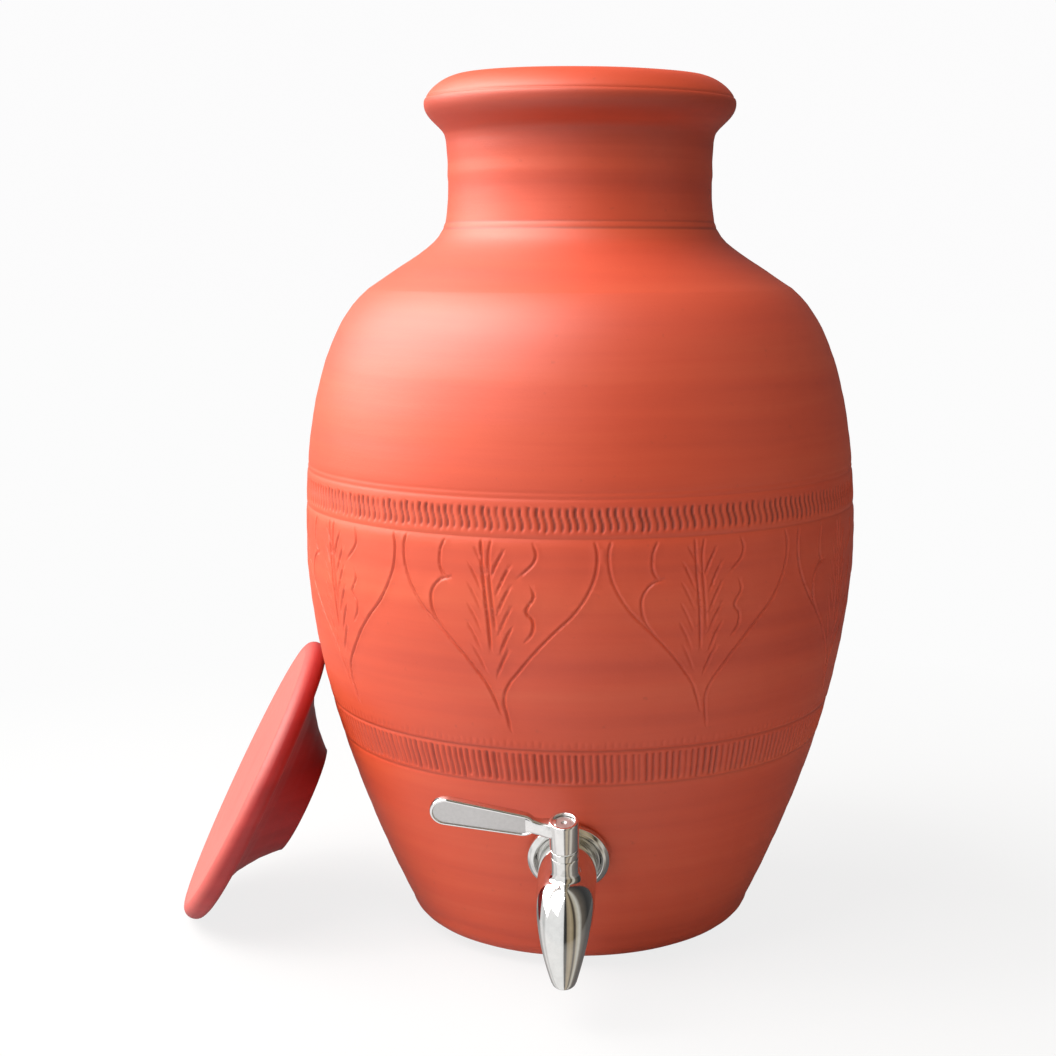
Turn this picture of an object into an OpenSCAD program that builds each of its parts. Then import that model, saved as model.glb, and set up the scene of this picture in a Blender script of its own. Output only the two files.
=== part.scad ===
// Clay water pot with a quarter-turn spout tap and a loose clay lid.
// The pot stands on z = 0 with its axis on the Z axis; the tap points to -Y.
// The lid leans on the pot's left flank (-X), its face turned up and outwards.

/* [Pot] */
// Height of the pot, floor to lip
pot_h = 400; // [380:1:430]
// Widest diameter of the belly
belly_d = 259.5; // [245:0.5:275]
// Height of the widest part of the belly
belly_z = 187; // [180:1:194]
// Diameter of the foot where it meets the belly
foot_d = 165; // [156:1:172]
// Height of the rounded edge of the foot
foot_h = 13; // [8:0.5:15]
// Diameter of the flat that the pot stands on
base_d = 124; // [110:1:134]
// Diameter of the belly where the shoulder starts
shoulder_d = 191; // [184:0.5:197]
// Height at which the shoulder starts
shoulder_z = 306; // [300:1:312]
// Outer diameter of the neck
neck_d = 123; // [116:0.5:128]
// Height at which the neck becomes straight
neck_z = 353; // [348:1:360]
// Largest diameter of the lip
rim_d = 144.4; // [138:0.2:150]
// Height of the lip
rim_h = 27.5; // [24:0.5:30]
// Thickness of the clay wall
wall = 8.5; // [7:0.1:10]
// Thickness of the clay floor
floor_t = 10; // [8:0.5:12]

/* [Turned bands] */
// Height of the upper band's top groove
upper_band_z = 221.3; // [215:0.1:227]
// Height of the upper band, groove to groove
upper_band_h = 16.3; // [12:0.1:20]
// Height of the lower band's top groove
lower_band_z = 112.6; // [106:0.1:118]
// Height of the lower band, groove to groove
lower_band_h = 16.4; // [12:0.1:20]
// Height of the ring at the foot of the neck
neck_ring_z = 331; // [327:0.5:335]
// Width of a turned groove
groove_w = 1.6; // [1:0.1:2.4]
// Depth of a turned groove
groove_depth = 0.6; // [0.3:0.1:0.9]
// Depth of the two fine grooves at the foot of the neck
neck_groove_depth = 0.35; // [0.2:0.05:0.6]
// Depth of the combed strip in each band
comb_depth = 0.45; // [0.2:0.05:0.7]

/* [Lid] */
// Diameter of the lid
lid_d = 145.8; // [138:0.2:150]
// Height of the lid, face to the end of its plug
lid_h = 31.9; // [29:0.1:35]
// Thickness of the lid's edge
lid_edge = 10.4; // [8.6:0.1:11.5]
// Depth of the shallow dish in the face
lid_dish = 1.6; // [0.8:0.1:2.5]
// Diameter of the plug's end
lid_plug_d = 54.6; // [48:0.2:60]
// Lean of the lid's face from upright, in degrees
lid_lean = 26.8; // [22:0.1:30]
// Direction in which the lid's face looks, seen from above, in degrees from +X
lid_side = 189.8; // [184:0.2:195]
// Direction in which the middle of the lid lies from the pot, in degrees from +X
lid_around = 183.1; // [178:0.1:188]
// Gap between the lid and the pot
lid_gap = 0.3; // [0.2:0.05:0.6]

/* [Tap fixing] */
// Height at which the tap's axis meets the wall
tap_z = 62; // [58:0.5:70]
// Diameter of the threaded inlet shank
shank_d = 16; // [14:0.5:17]
// Diameter of the water way
water_d = 8.4; // [7:0.1:9]
// How far the hole in the wall is wider than the shank
shank_play = 1; // [0.5:0.1:1.6]
// Diameter of the outer gasket
outer_gasket_d = 33; // [30:0.5:34]
// Thickness of the outer gasket
outer_gasket_t = 2; // [1.5:0.1:2.5]
// Diameter of the flange plate
flange_d = 35.6; // [35:0.1:38]
// Height of the flange plate's raised rim
flange_h = 3.8; // [3:0.1:4.5]
// Thickness of the flange plate at its middle
flange_t = 1.6; // [1.2:0.1:2.2]
// Diameter of the inner gasket and washer
inner_gasket_d = 29; // [27:0.5:30]
// Thickness of the inner gasket
inner_gasket_t = 2; // [1.5:0.1:3]
// Thickness of the backing washer
washer_t = 1.5; // [1:0.1:2]
// Width of the lock nut across its flats
nut_af = 24; // [22:0.5:26]
// Thickness of the lock nut
nut_t = 6; // [4:0.5:8]
// Length of shank left free behind the lock nut
shank_tail = 5; // [3:0.5:8]

/* [Tap body] */
// Diameter of the valve body
body_d = 25.3; // [24:0.1:27]
// Distance from the wall to the valve stem, along the tap
stem_t = 25.5; // [25:0.1:28]
// Reach of the spout's outlet from the wall, along the tap
spout_reach = 50; // [48:0.5:56]
// Drop of the spout's outlet below the tap's axis
spout_drop = 26; // [25:0.5:29]
// Outer diameter of the outlet
outlet_d = 10.2; // [10:0.1:11.6]
// Bore of the outlet
outlet_bore_d = 7.2; // [6:0.1:7.6]
// Diameter of the bonnet and its gland nut
bonnet_d = 11.8; // [11.4:0.1:12.2]
// Height of the bonnet's top above the tap's axis
bonnet_top = 21.5; // [20:0.1:23]

/* [Valve] */
// Diameter of the ball
ball_d = 15; // [14:0.1:15.2]
// Gap between the ball and its seats
ball_gap = 0.1; // [0.05:0.01:0.2]
// Thickness of a ball seat
seat_t = 3.4; // [3:0.1:3.8]
// Diameter of the stem
stem_d = 6; // [5.4:0.1:6.4]
// Running clearance of the stem, on the radius
stem_fit = 0.05; // [0.03:0.01:0.08]
// Diameter of the stem's collar
collar_d = 8.5; // [8.3:0.1:8.7]
// Height of the stem's collar
collar_h = 1.5; // [1:0.1:2]
// Section of the stem's sealing rings
ring_section = 1.2; // [1:0.05:1.3]
// Height of the gland nut above the bonnet
gland_h = 3.6; // [3:0.1:4.5]
// Thickness of the thrust washer under the lever
thrust_t = 0.7; // [0.5:0.1:1]
// Width across the stem's square
square_w = 4.2; // [3.8:0.1:4.4]

/* [Lever] */
// Diameter of the lever's boss
hub_d = 12.3; // [12:0.1:13.5]
// Height of the lever's boss
hub_h = 13.7; // [13:0.1:15]
// Length of the lever, stem axis to free end
lever_l = 55; // [50:0.5:62]
// Height of the paddle at its free end
paddle_end_h = 13.2; // [11:0.1:15]
// Height of the paddle near the boss
paddle_root_h = 10.6; // [9.5:0.1:11.5]
// Thickness of the paddle
paddle_t = 3.6; // [3:0.1:4.2]
// Height of the neck that joins the paddle to the boss
lever_neck_h = 8; // [7:0.1:8.5]
// Rise of the lever towards its free end, in degrees
lever_rise = 11.5; // [6:0.5:14]
// Width of the rim round the paddle's sunk panel
panel_rim = 1.2; // [0.9:0.1:1.6]
// Depth of the paddle's sunk panel
panel_depth = 0.6; // [0.3:0.1:1]
// Diameter of the lever screw's head
screw_head_d = 8.8; // [8:0.1:9.2]
// Diameter of the lever screw's shank
screw_d = 3; // [2.6:0.1:3.2]

/* [Hidden] */
$fn = 96;
eps = 0.01;
steps = 14;

clay = "#cf5a3c";
steel = "silver";
polished = "gainsboro";
seal = "#2b2b2b";
ptfe = "whitesmoke";

// ---------- curves ----------
function bez(p, s) = pow(1 - s, 3) * p[0] + 3 * pow(1 - s, 2) * s * p[1]
    + 3 * (1 - s) * s * s * p[2] + pow(s, 3) * p[3];
function bez_dir(p, s) = pow(1 - s, 2) * (p[1] - p[0]) + 2 * (1 - s) * s * (p[2] - p[1])
    + s * s * (p[3] - p[2]);
function curve(p, n = steps) = [for (i = [0:n - 1]) bez(p, i / n)];
function inset(p, s, t) = let (d = bez_dir(p, s)) bez(p, s) + t * [-d[1], d[0]] / norm(d);
function inset_curve(p, t, n = steps) = [for (i = [0:n - 1]) inset(p, i / n, t)];
function quarter(c, a, from, n = 8) =
    [for (i = [0:n]) c + [a[0] * cos(from + 90 * i / n), a[1] * sin(from + 90 * i / n)]];
function backwards(v) = [for (i = [len(v) - 1:-1:0]) v[i]];

// ---------- the pot's section: radius and height ----------
belly_r = belly_d / 2;
foot_r = foot_d / 2;
base_r = base_d / 2;
neck_r = neck_d / 2;
mouth_r = neck_r - wall;
rim_r = rim_d / 2;
lip_crest_r = mouth_r + 4.5;
lip_inner_h = 6;

foot_pts = quarter([base_r, foot_h], [foot_r - base_r, foot_h], -90);
lower_belly = [[foot_r, foot_h], [foot_r + 4, foot_h + 9], [belly_r, belly_z - 78], [belly_r, belly_z]];
upper_belly = [[belly_r, belly_z], [belly_r, belly_z + 104],
    [shoulder_d / 2 + 2.4, shoulder_z - 1.75], [shoulder_d / 2, shoulder_z]];
shoulder = [[shoulder_d / 2, shoulder_z], [shoulder_d / 2 - 28.3, shoulder_z + 20.6],
    [neck_r, neck_z - 31.4], [neck_r, neck_z]];
rim_widest = [rim_r, pot_h - 13];
rim_crease = [rim_r - 0.9, pot_h - 10.2];
rim_foot = [neck_r + 1, pot_h - rim_h];
neck_flare = [[neck_r, neck_z], [neck_r, neck_z + 9], [neck_r - 0.1, rim_foot[1] - 3.5], rim_foot];
rim_under = [rim_foot, rim_foot + [0.5, 5], rim_widest - [0, 6], rim_widest];
rim_roll = [rim_widest, rim_widest + [0, 1.6], rim_crease + [0.5, -0.3], rim_crease];
rim_top = [rim_crease, rim_crease + [-1.8, 4.1], [lip_crest_r + 7.5, pot_h - 1.7], [lip_crest_r, pot_h]];

outer_wall = concat(foot_pts, curve(lower_belly, 20), curve(upper_belly, 20), curve(shoulder));
pot_outer = concat([[0, 0]], outer_wall, curve(neck_flare, 6), curve(rim_under, 8),
    curve(rim_roll, 4), curve(rim_top, 8));
lip_inside = quarter([lip_crest_r, pot_h - lip_inner_h], [lip_crest_r - mouth_r, lip_inner_h], 90);
inner_foot = inset(lower_belly, 0, wall);
floor_edge = quarter([inner_foot[0] - 13, inner_foot[1]], [13, inner_foot[1] - floor_t], -90);
inner_wall = concat([[mouth_r, neck_z]], backwards(inset_curve(shoulder, wall)),
    backwards(inset_curve(upper_belly, wall, 20)), backwards(inset_curve(lower_belly, wall, 20)));
pot_section = concat(pot_outer, lip_inside, inner_wall, backwards(floor_edge), [[0, floor_t]]);

wall_table = [for (p = outer_wall) [p[1], p[0]]];
function wall_r(z) = lookup(z, wall_table);

band_grooves = [upper_band_z + 2.4, upper_band_z, upper_band_z - upper_band_h,
    lower_band_z, lower_band_z - lower_band_h];
neck_grooves = [neck_ring_z, neck_ring_z + 3];
upper_comb = [upper_band_z - upper_band_h + 3.2, upper_band_z - 3.9];
lower_comb = [lower_band_z - lower_band_h + 1.8, lower_band_z - 1.7];

// ---------- where the tap sits ----------
tap_slope_span = 15;
tap_tilt = atan((wall_r(tap_z + tap_slope_span) - wall_r(tap_z - tap_slope_span)) / (2 * tap_slope_span));
shank_r = shank_d / 2;
outer_gasket_r = outer_gasket_d / 2;
inner_gasket_r = inner_gasket_d / 2;
seat_depth = pow(outer_gasket_r + 0.5, 2) / (2 * wall_r(tap_z) / cos(tap_tilt)) + 0.2;
flange_z = outer_gasket_t - seat_depth;
body_z = flange_z + flange_t;
inner_seat_z = 0.1 - wall;
washer_z = inner_seat_z - inner_gasket_t - washer_t;
nut_z = washer_z - nut_t;

// ---------- the valve ----------
body_r = body_d / 2;
chamber_fit = 0.05;
chamber_r = shank_r + chamber_fit;
ball_r = ball_d / 2;
water_r = water_d / 2;
seat_in = 5;
seat_out = seat_in + seat_t;
stem_r = stem_d / 2;
stem_bore_r = stem_r + stem_fit;
collar_r = collar_d / 2;
gland_bore_r = collar_r + stem_fit;
collar_z = body_r + 0.9;
ring_pitch = ring_section + 0.1;
rings_z = collar_z + collar_h + ring_pitch / 2;
gland_tip_z = rings_z + 1.5 * ring_pitch + 0.05;
gland_top = bonnet_top + gland_h;
hub_z = gland_top + thrust_t + 0.1;
hub_top = hub_z + hub_h;
hub_r = hub_d / 2;
square_z = hub_z + 2;
recess_z = hub_top - 2.4;
stem_top = recess_z - 2.1;
slot_w = 3;
slot_floor = water_r + 0.8;
tang_play = 0.05;

// ---------- transforms ----------
module at_tap() {
    translate([0, -wall_r(tap_z), tap_z])
        rotate([90 + tap_tilt, 0, 0])
            children();
}

module at_stem() {
    at_tap()
        translate([0, 0, stem_t])
            rotate([-90, 0, 0])
                children();
}

module tube(r_out, r_in, h) {
    difference() {
        cylinder(r = r_out, h = h);
        translate([0, 0, -1])
            cylinder(r = r_in, h = h + 2);
    }
}

// ---------- clay ----------
// What the turning tool takes from the section: a round groove, and a shallow strip along the wall
module groove(z, depth) {
    translate([wall_r(z) + groove_w / 2 - depth, z])
        circle(d = groove_w, $fn = 24);
}

module comb_strip(span, n = 5) {
    strip_z = [for (i = [0:n]) span[0] + (span[1] - span[0]) * i / n];
    polygon(concat([for (z = strip_z) [wall_r(z) - comb_depth, z]],
        [for (z = backwards(strip_z)) [wall_r(z) + wall, z]]));
}

module pot() {
    color(clay)
        difference() {
            rotate_extrude($fn = 180)
                difference() {
                    polygon(pot_section);
                    for (z = band_grooves)
                        groove(z, groove_depth);
                    for (z = neck_grooves)
                        groove(z, neck_groove_depth);
                    comb_strip(upper_comb);
                    comb_strip(lower_comb);
                }
            at_tap() {
                translate([0, 0, -3 * wall])
                    cylinder(r = shank_r + shank_play / 2, h = 6 * wall);
                translate([0, 0, -seat_depth])
                    cylinder(r = outer_gasket_r + 0.5, h = wall);
                translate([0, 0, inner_seat_z - wall])
                    cylinder(r = inner_gasket_r + 0.5, h = wall);
            }
        }
}

// The lid's section: radius and depth behind the face
lid_r = lid_d / 2;
lid_plug_r = lid_plug_d / 2;
lid_brim = [lid_r - 5, 0];
lid_widest = [lid_r, lid_edge * 0.5];
lid_heel = [lid_r - 5.5, lid_edge + 0.6];
lid_tip = [lid_plug_r, lid_h - 1.2];
lid_dish_curve = [[0, lid_dish], [lid_r * 0.6, lid_dish], lid_brim + [-9, 0.2], lid_brim];
lid_nose = [lid_brim, lid_brim + [3.2, 0], lid_widest - [0, lid_edge * 0.2], lid_widest];
lid_under = [lid_widest, lid_widest + [0, lid_edge * 0.3], lid_heel + [3.5, -0.6], lid_heel];
lid_cone = [lid_heel, lid_heel + [-13.4, -1.2], lid_tip + [14.6, -15.6], lid_tip];
lid_section = concat(curve(lid_dish_curve, 8), curve(lid_nose, 6), curve(lid_under, 6), curve(lid_cone, 12),
    [lid_tip, lid_tip + [-0.5, 0.8], lid_tip + [-1.5, 1.2], [0, lid_h]]);

// Seat of the leaning lid: lowest point on the floor, top edge against the pot's flank.
// A point of the lid is [up the face, depth behind the face, along the face].
lid_turn = lid_side - lid_around;
lid_reach = 50;
lid_top_points = [for (p = lid_section, t = [-lid_reach:5:lid_reach]) [p[0] * cos(t), p[1], p[0] * sin(t)]];
function lean_z(p) = p[0] * cos(lid_lean) - p[1] * sin(lid_lean);
function lean_in(p) = p[0] * sin(lid_lean) + p[1] * cos(lid_lean);
function lid_toward(p) = lean_in(p) * cos(lid_turn) + p[2] * sin(lid_turn);
function lid_across(p) = p[2] * cos(lid_turn) - lean_in(p) * sin(lid_turn);
function wall_at(p) = wall_r(lid_centre_z + lean_z(p)) + lid_gap / cos(tap_tilt);
lid_centre_z = -min([for (p = lid_section) lean_z([-p[0], p[1]])]);
lid_centre_r = max([for (p = lid_top_points)
    lid_toward(p) + sqrt(pow(wall_at(p), 2) - pow(lid_across(p), 2))]);

module lid() {
    color(clay)
        translate([lid_centre_r * cos(lid_around), lid_centre_r * sin(lid_around), lid_centre_z])
            rotate([0, 90 - lid_lean, lid_side])
                rotate_extrude($fn = 160)
                    polygon([for (p = lid_section) [p[0], -p[1]]]);
}

// ---------- what fixes the tap to the wall ----------
module flange_plate() {
    flange_r = flange_d / 2;
    rim_round = 1.2;
    land_r = body_r + 0.4;
    dish = [[flange_r - 2.6, flange_h], [flange_r - 3.4, flange_h], [land_r + 0.8, flange_t + 0.1],
        [land_r, flange_t]];
    color(polished)
        at_tap()
            translate([0, 0, flange_z])
                rotate_extrude()
                    polygon(concat([[shank_r + 0.1, 0], [flange_r, 0]],
                        quarter([flange_r - rim_round, flange_h - rim_round], [rim_round, rim_round], 0, 5),
                        curve(dish, 8), [[land_r, flange_t], [shank_r + 0.1, flange_t]]));
}

module outer_gasket() {
    color(seal)
        at_tap()
            translate([0, 0, -seat_depth])
                tube(outer_gasket_r, shank_r, outer_gasket_t);
}

module inner_gasket() {
    color(seal)
        at_tap()
            translate([0, 0, inner_seat_z - inner_gasket_t])
                tube(inner_gasket_r, shank_r, inner_gasket_t);
}

module backing_washer() {
    color(steel)
        at_tap()
            translate([0, 0, washer_z])
                tube(inner_gasket_r - 0.5, shank_r + 0.1, washer_t);
}

module lock_nut() {
    corner_r = nut_af / sqrt(3);
    color(steel)
        at_tap()
            translate([0, 0, nut_z])
                difference() {
                    intersection() {
                        cylinder(r = corner_r, h = nut_t, $fn = 6);
                        rotate_extrude()
                            polygon([[0, 0], [nut_af / 2, 0], [corner_r, 1.2], [corner_r, nut_t - 1.2],
                                [nut_af / 2, nut_t], [0, nut_t]]);
                    }
                    translate([0, 0, -1])
                        cylinder(r = shank_r, h = nut_t + 2);
                }
}

module inlet_shank() {
    start = nut_z - shank_tail;
    length = stem_t - seat_out - start;
    color(steel)
        at_tap()
            translate([0, 0, start])
                difference() {
                    rotate_extrude()
                        polygon([[water_r, 0], [shank_r - 1, 0], [shank_r, 1], [shank_r, length],
                            [water_r, length]]);
                    translate([0, 0, -1])
                        cylinder(r1 = water_r + 2, r2 = water_r - 0.5, h = 2.5);
                }
}

// ---------- the spout: a round section swept along a bend, in the tap's own plane ----------
spout_start = stem_t + 2.5;
spout_path = [[spout_start, 0], [spout_start + 13, 0], [spout_reach, 16 - spout_drop],
    [spout_reach, -spout_drop]];
spout_rings = 16;
spout_taper = 1.7;
function ring_at(path, s, r, n) =
    let (c = bez(path, s), d = bez_dir(path, s) / norm(bez_dir(path, s)))
        [for (k = [0:n - 1]) let (a = 360 * k / n)
            [r * cos(a), c[1] + r * sin(a) * d[0], c[0] - r * sin(a) * d[1]]];
function spout_r(s) = outlet_d / 2 + (body_r - 0.05 - outlet_d / 2) * (1 - pow(s, spout_taper));
function spout_bore_r(s) = outlet_bore_d / 2 + (water_r - outlet_bore_d / 2) * (1 - s);

// Skin over a stack of equal rings
module loft(rings) {
    n = len(rings[0]);
    m = len(rings);
    points = [for (ring = rings) each ring];
    side = [for (j = [0:m - 2], k = [0:n - 1]) let (a = j * n + k, b = j * n + (k + 1) % n)
        each [[a, b + n, b], [a, a + n, b + n]]];
    polyhedron(points = points, faces = concat([[for (k = [0:n - 1]) k]], side,
        [[for (k = [n - 1:-1:0]) (m - 1) * n + k]]));
}

module spout_skin() {
    loft([for (i = [0:spout_rings]) let (s = i / spout_rings) ring_at(spout_path, s, spout_r(s), 32)]);
}

module spout_bore() {
    bore_path = [[stem_t + seat_out - 1, 0], [spout_start + 12, 0], [spout_reach, 14 - spout_drop],
        [spout_reach, -spout_drop - 1]];
    loft([for (i = [0:12]) let (s = i / 12) ring_at(bore_path, s, spout_bore_r(s), 20)]);
}

module tap_body() {
    waist = 1.2;
    color(polished)
        difference() {
            union() {
                at_tap() {
                    translate([0, 0, body_z])
                        rotate_extrude()
                            polygon([[0, 0], [body_r - 1.2, 0], [body_r - 0.8, waist], [body_r, waist + 0.8],
                                [body_r, spout_start + 3 - body_z], [0, spout_start + 3 - body_z]]);
                    spout_skin();
                }
                at_stem()
                    cylinder(r = bonnet_d / 2, h = bonnet_top);
            }
            at_tap() {
                translate([0, 0, body_z - 1])
                    cylinder(r = chamber_r, h = stem_t + seat_out - body_z + 1);
                spout_bore();
            }
            at_stem() {
                cylinder(r = stem_bore_r, h = bonnet_top + 1);
                translate([0, 0, collar_z])
                    cylinder(r = gland_bore_r, h = bonnet_top);
            }
        }
}

// ---------- the valve's inside ----------
module ball_seat(flip) {
    color(ptfe)
        at_tap()
            translate([0, 0, stem_t])
                rotate([flip, 0, 0])
                    difference() {
                        translate([0, 0, seat_in])
                            tube(shank_r, water_r, seat_t);
                        sphere(r = ball_r + ball_gap);
                    }
}

module inlet_seat() {
    ball_seat(180);
}

module outlet_seat() {
    ball_seat(0);
}

// Closed at rest: the ball's water way lies across the tap
module valve_ball() {
    color(polished)
        at_stem()
            difference() {
                sphere(r = ball_r);
                translate([-ball_r - 1, 0, 0])
                    rotate([0, 90, 0])
                        cylinder(r = water_r, h = ball_d + 2);
                translate([-slot_w / 2, -ball_r - 1, slot_floor])
                    cube([slot_w, ball_d + 2, ball_r]);
            }
}

module valve_stem() {
    tang_w = slot_w - 2 * tang_play;
    color(steel)
        at_stem()
            difference() {
                union() {
                    intersection() {
                        translate([0, 0, slot_floor + tang_play])
                            cylinder(r = stem_r, h = square_z - slot_floor);
                        translate([-tang_w / 2, -stem_r, slot_floor])
                            cube([tang_w, stem_d, square_z - slot_floor]);
                    }
                    translate([0, 0, ball_r + ball_gap])
                        cylinder(r = stem_r, h = square_z - ball_r - ball_gap);
                    translate([0, 0, collar_z + stem_fit])
                        cylinder(r = collar_r, h = collar_h - stem_fit);
                    translate([-square_w / 2, -square_w / 2, square_z - eps])
                        cube([square_w, square_w, stem_top - square_z + eps]);
                }
                translate([0, 0, stem_top - 8])
                    cylinder(r = screw_d / 2, h = 9);
            }
}

module stem_o_rings() {
    ring_mid_r = (stem_r + gland_bore_r) / 2;
    color(seal)
        at_stem()
            for (i = [0, 1])
                translate([0, 0, rings_z + i * ring_pitch])
                    rotate_extrude()
                        translate([ring_mid_r, 0])
                            circle(d = ring_section, $fn = 32);
}

module gland_nut() {
    color(polished)
        at_stem()
            difference() {
                union() {
                    translate([0, 0, bonnet_top])
                        cylinder(r = bonnet_d / 2, h = gland_h);
                    translate([0, 0, gland_tip_z])
                        cylinder(r = collar_r, h = gland_top - gland_tip_z);
                }
                translate([0, 0, gland_tip_z - 1])
                    cylinder(r = stem_bore_r, h = gland_top - gland_tip_z + 2);
            }
}

module thrust_washer() {
    color(ptfe)
        at_stem()
            translate([0, 0, gland_top])
                tube(bonnet_d / 2 - 0.4, stem_bore_r, thrust_t);
}

// ---------- the lever ----------
// Outline round two circles of different size; its straight sides cut a hair into both
module tapered_slot(p1, r1, p2, r2) {
    side_inset = 0.02;
    run = norm(p2 - p1);
    lie = atan2(p2[1] - p1[1], p2[0] - p1[0]);
    open = acos((r1 - r2) / run);
    function on(p, r, a) = p + (r - side_inset) * [cos(a), sin(a)];
    translate(p1)
        circle(r = r1, $fn = 64);
    translate(p2)
        circle(r = r2, $fn = 64);
    polygon([on(p1, r1, lie + open), on(p2, r2, lie + open),
        on(p2, r2, lie - open), on(p1, r1, lie - open)]);
}

paddle_end_r = paddle_end_h / 2;
paddle_root_r = paddle_root_h / 2;
paddle_gap = 5.5;
neck_share = 0.7;
neck_step = 0.4;
neck_sink = 4.2;
neck_mid = hub_top - 0.5 - lever_neck_h / 2;
paddle_root_x = hub_r + paddle_gap + paddle_root_r;
paddle_root = [-paddle_root_x, neck_mid + neck_share * paddle_root_x * tan(lever_rise)];
paddle_end = [paddle_end_r - lever_l, paddle_root[1]
    + (lever_l - paddle_end_r + paddle_root[0]) * tan(lever_rise)];

module lever() {
    color(steel)
        at_stem()
            difference() {
                union() {
                    translate([0, 0, hub_z])
                        cylinder(r = hub_r, h = hub_h);
                    rotate([90, 0, 0])
                        translate([0, 0, -paddle_t / 2])
                            linear_extrude(paddle_t) {
                                tapered_slot(paddle_end, paddle_end_r, paddle_root, paddle_root_r);
                                tapered_slot(paddle_root, paddle_root_r - neck_step,
                                    [neck_sink - hub_r, neck_mid], lever_neck_h / 2);
                            }
                }
                rotate([90, 0, 0])
                    translate([0, 0, paddle_t / 2 - panel_depth])
                        linear_extrude(panel_depth + 1)
                            tapered_slot(paddle_end, paddle_end_r - panel_rim,
                                paddle_root, paddle_root_r - panel_rim);
                translate([0, 0, recess_z])
                    cylinder(r = screw_head_d / 2 + 0.3, h = hub_h);
                translate([0, 0, hub_z - 1])
                    cylinder(r = stem_bore_r, h = square_z - hub_z + 1);
                translate([-square_w / 2 - 0.05, -square_w / 2 - 0.05, square_z - 1])
                    cube([square_w + 0.1, square_w + 0.1, stem_top + 0.1 - square_z + 1]);
                translate([0, 0, stem_top - 1])
                    cylinder(r = screw_d / 2 + 0.1, h = hub_h);
            }
}

module lever_screw() {
    head_h = 1.2;
    color(steel)
        at_stem()
            translate([0, 0, recess_z])
                difference() {
                    union() {
                        cylinder(r = screw_head_d / 2, h = head_h);
                        translate([0, 0, -8])
                            cylinder(r = screw_d / 2, h = 8 + eps);
                    }
                    translate([0, 0, head_h + 0.6])
                        sphere(r = 1.1);
                }
}

pot();
lid();
flange_plate();
outer_gasket();
inner_gasket();
backing_washer();
lock_nut();
inlet_shank();
tap_body();
inlet_seat();
outlet_seat();
valve_ball();
valve_stem();
stem_o_rings();
gland_nut();
thrust_washer();
lever();
lever_screw();
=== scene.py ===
"""Looks of a clay water pot with a tap and its leaning lid.

Sizes are in millimetres until mesh() scales them.
"""

import math

import bpy
import numpy as np
from mathutils import Matrix, Vector
from mathutils.bvhtree import BVHTree
from mathutils.geometry import delaunay_2d_cdt


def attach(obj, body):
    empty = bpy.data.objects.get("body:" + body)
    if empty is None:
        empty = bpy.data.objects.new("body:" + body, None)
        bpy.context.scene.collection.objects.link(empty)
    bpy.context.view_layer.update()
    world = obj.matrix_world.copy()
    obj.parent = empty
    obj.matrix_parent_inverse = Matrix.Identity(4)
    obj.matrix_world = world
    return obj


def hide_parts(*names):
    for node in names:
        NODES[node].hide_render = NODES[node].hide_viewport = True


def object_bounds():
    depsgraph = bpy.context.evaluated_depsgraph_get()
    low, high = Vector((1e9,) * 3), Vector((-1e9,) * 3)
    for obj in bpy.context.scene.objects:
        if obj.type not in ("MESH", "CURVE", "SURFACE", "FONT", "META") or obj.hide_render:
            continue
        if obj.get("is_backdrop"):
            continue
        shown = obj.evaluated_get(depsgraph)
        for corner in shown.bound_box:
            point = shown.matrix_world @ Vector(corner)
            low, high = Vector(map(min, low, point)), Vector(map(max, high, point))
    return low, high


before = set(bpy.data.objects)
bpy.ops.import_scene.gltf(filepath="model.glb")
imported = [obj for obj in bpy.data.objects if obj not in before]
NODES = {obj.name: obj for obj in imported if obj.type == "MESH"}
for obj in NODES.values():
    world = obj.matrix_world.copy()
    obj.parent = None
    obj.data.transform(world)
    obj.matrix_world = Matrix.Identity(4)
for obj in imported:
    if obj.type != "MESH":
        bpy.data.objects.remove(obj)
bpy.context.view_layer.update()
RNG = np.random.default_rng(11)
MM = 0.001


# ---------- curves and meshes ----------
def cubic(p, s):
    """Point of a cubic curve at s, from 0 to 1"""
    return (1 - s) ** 3 * p[0] + 3 * (1 - s) ** 2 * s * p[1] + 3 * (1 - s) * s * s * p[2] + s**3 * p[3]


def cubic_way(p, s):
    """Which way a cubic curve runs at s, at any length"""
    return (1 - s) ** 2 * (p[1] - p[0]) + 2 * (1 - s) * s * (p[2] - p[1]) + s * s * (p[3] - p[2])


def bend(a, b, c, s):
    """Point at s of the curve from a to c that b pulls"""
    return (1 - s) ** 2 * a + 2 * (1 - s) * s * b + s * s * c


def bez(p, n, end=False):
    """n points along a cubic curve, its end left out unless asked for"""
    return cubic(np.array(p, float), np.linspace(0, 1, n + 1)[: n + 1 if end else n, None])


def rounded(points, radii, steps=5):
    """An open outline with each inner corner rounded; radii holds one number per corner"""
    pts = [np.array(p, float) for p in points]
    out = [pts[0]]
    for i in range(1, len(pts) - 1):
        a, b, c = pts[i - 1], pts[i], pts[i + 1]
        la, lc = np.linalg.norm(a - b), np.linalg.norm(c - b)
        u, v = (a - b) / la, (c - b) / lc
        angle = math.acos(max(-1.0, min(1.0, float(u @ v))))
        r = radii[i - 1]
        if r <= 0 or angle > math.pi - 0.02:
            out.append(b)
            continue
        reach = min(r / math.tan(angle / 2), 0.45 * la, 0.45 * lc)
        p, q = b + u * reach, b + v * reach
        out += [bend(p, b, q, k / steps) for k in range(steps + 1)]
    out.append(pts[-1])
    return np.array(out)


def placed(axes, origin):
    """Matrix that takes local x, y, z to these row axes from origin"""
    m = np.eye(4)
    m[:3, 0], m[:3, 1], m[:3, 2] = axes
    m[:3, 3] = origin
    return m


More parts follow.
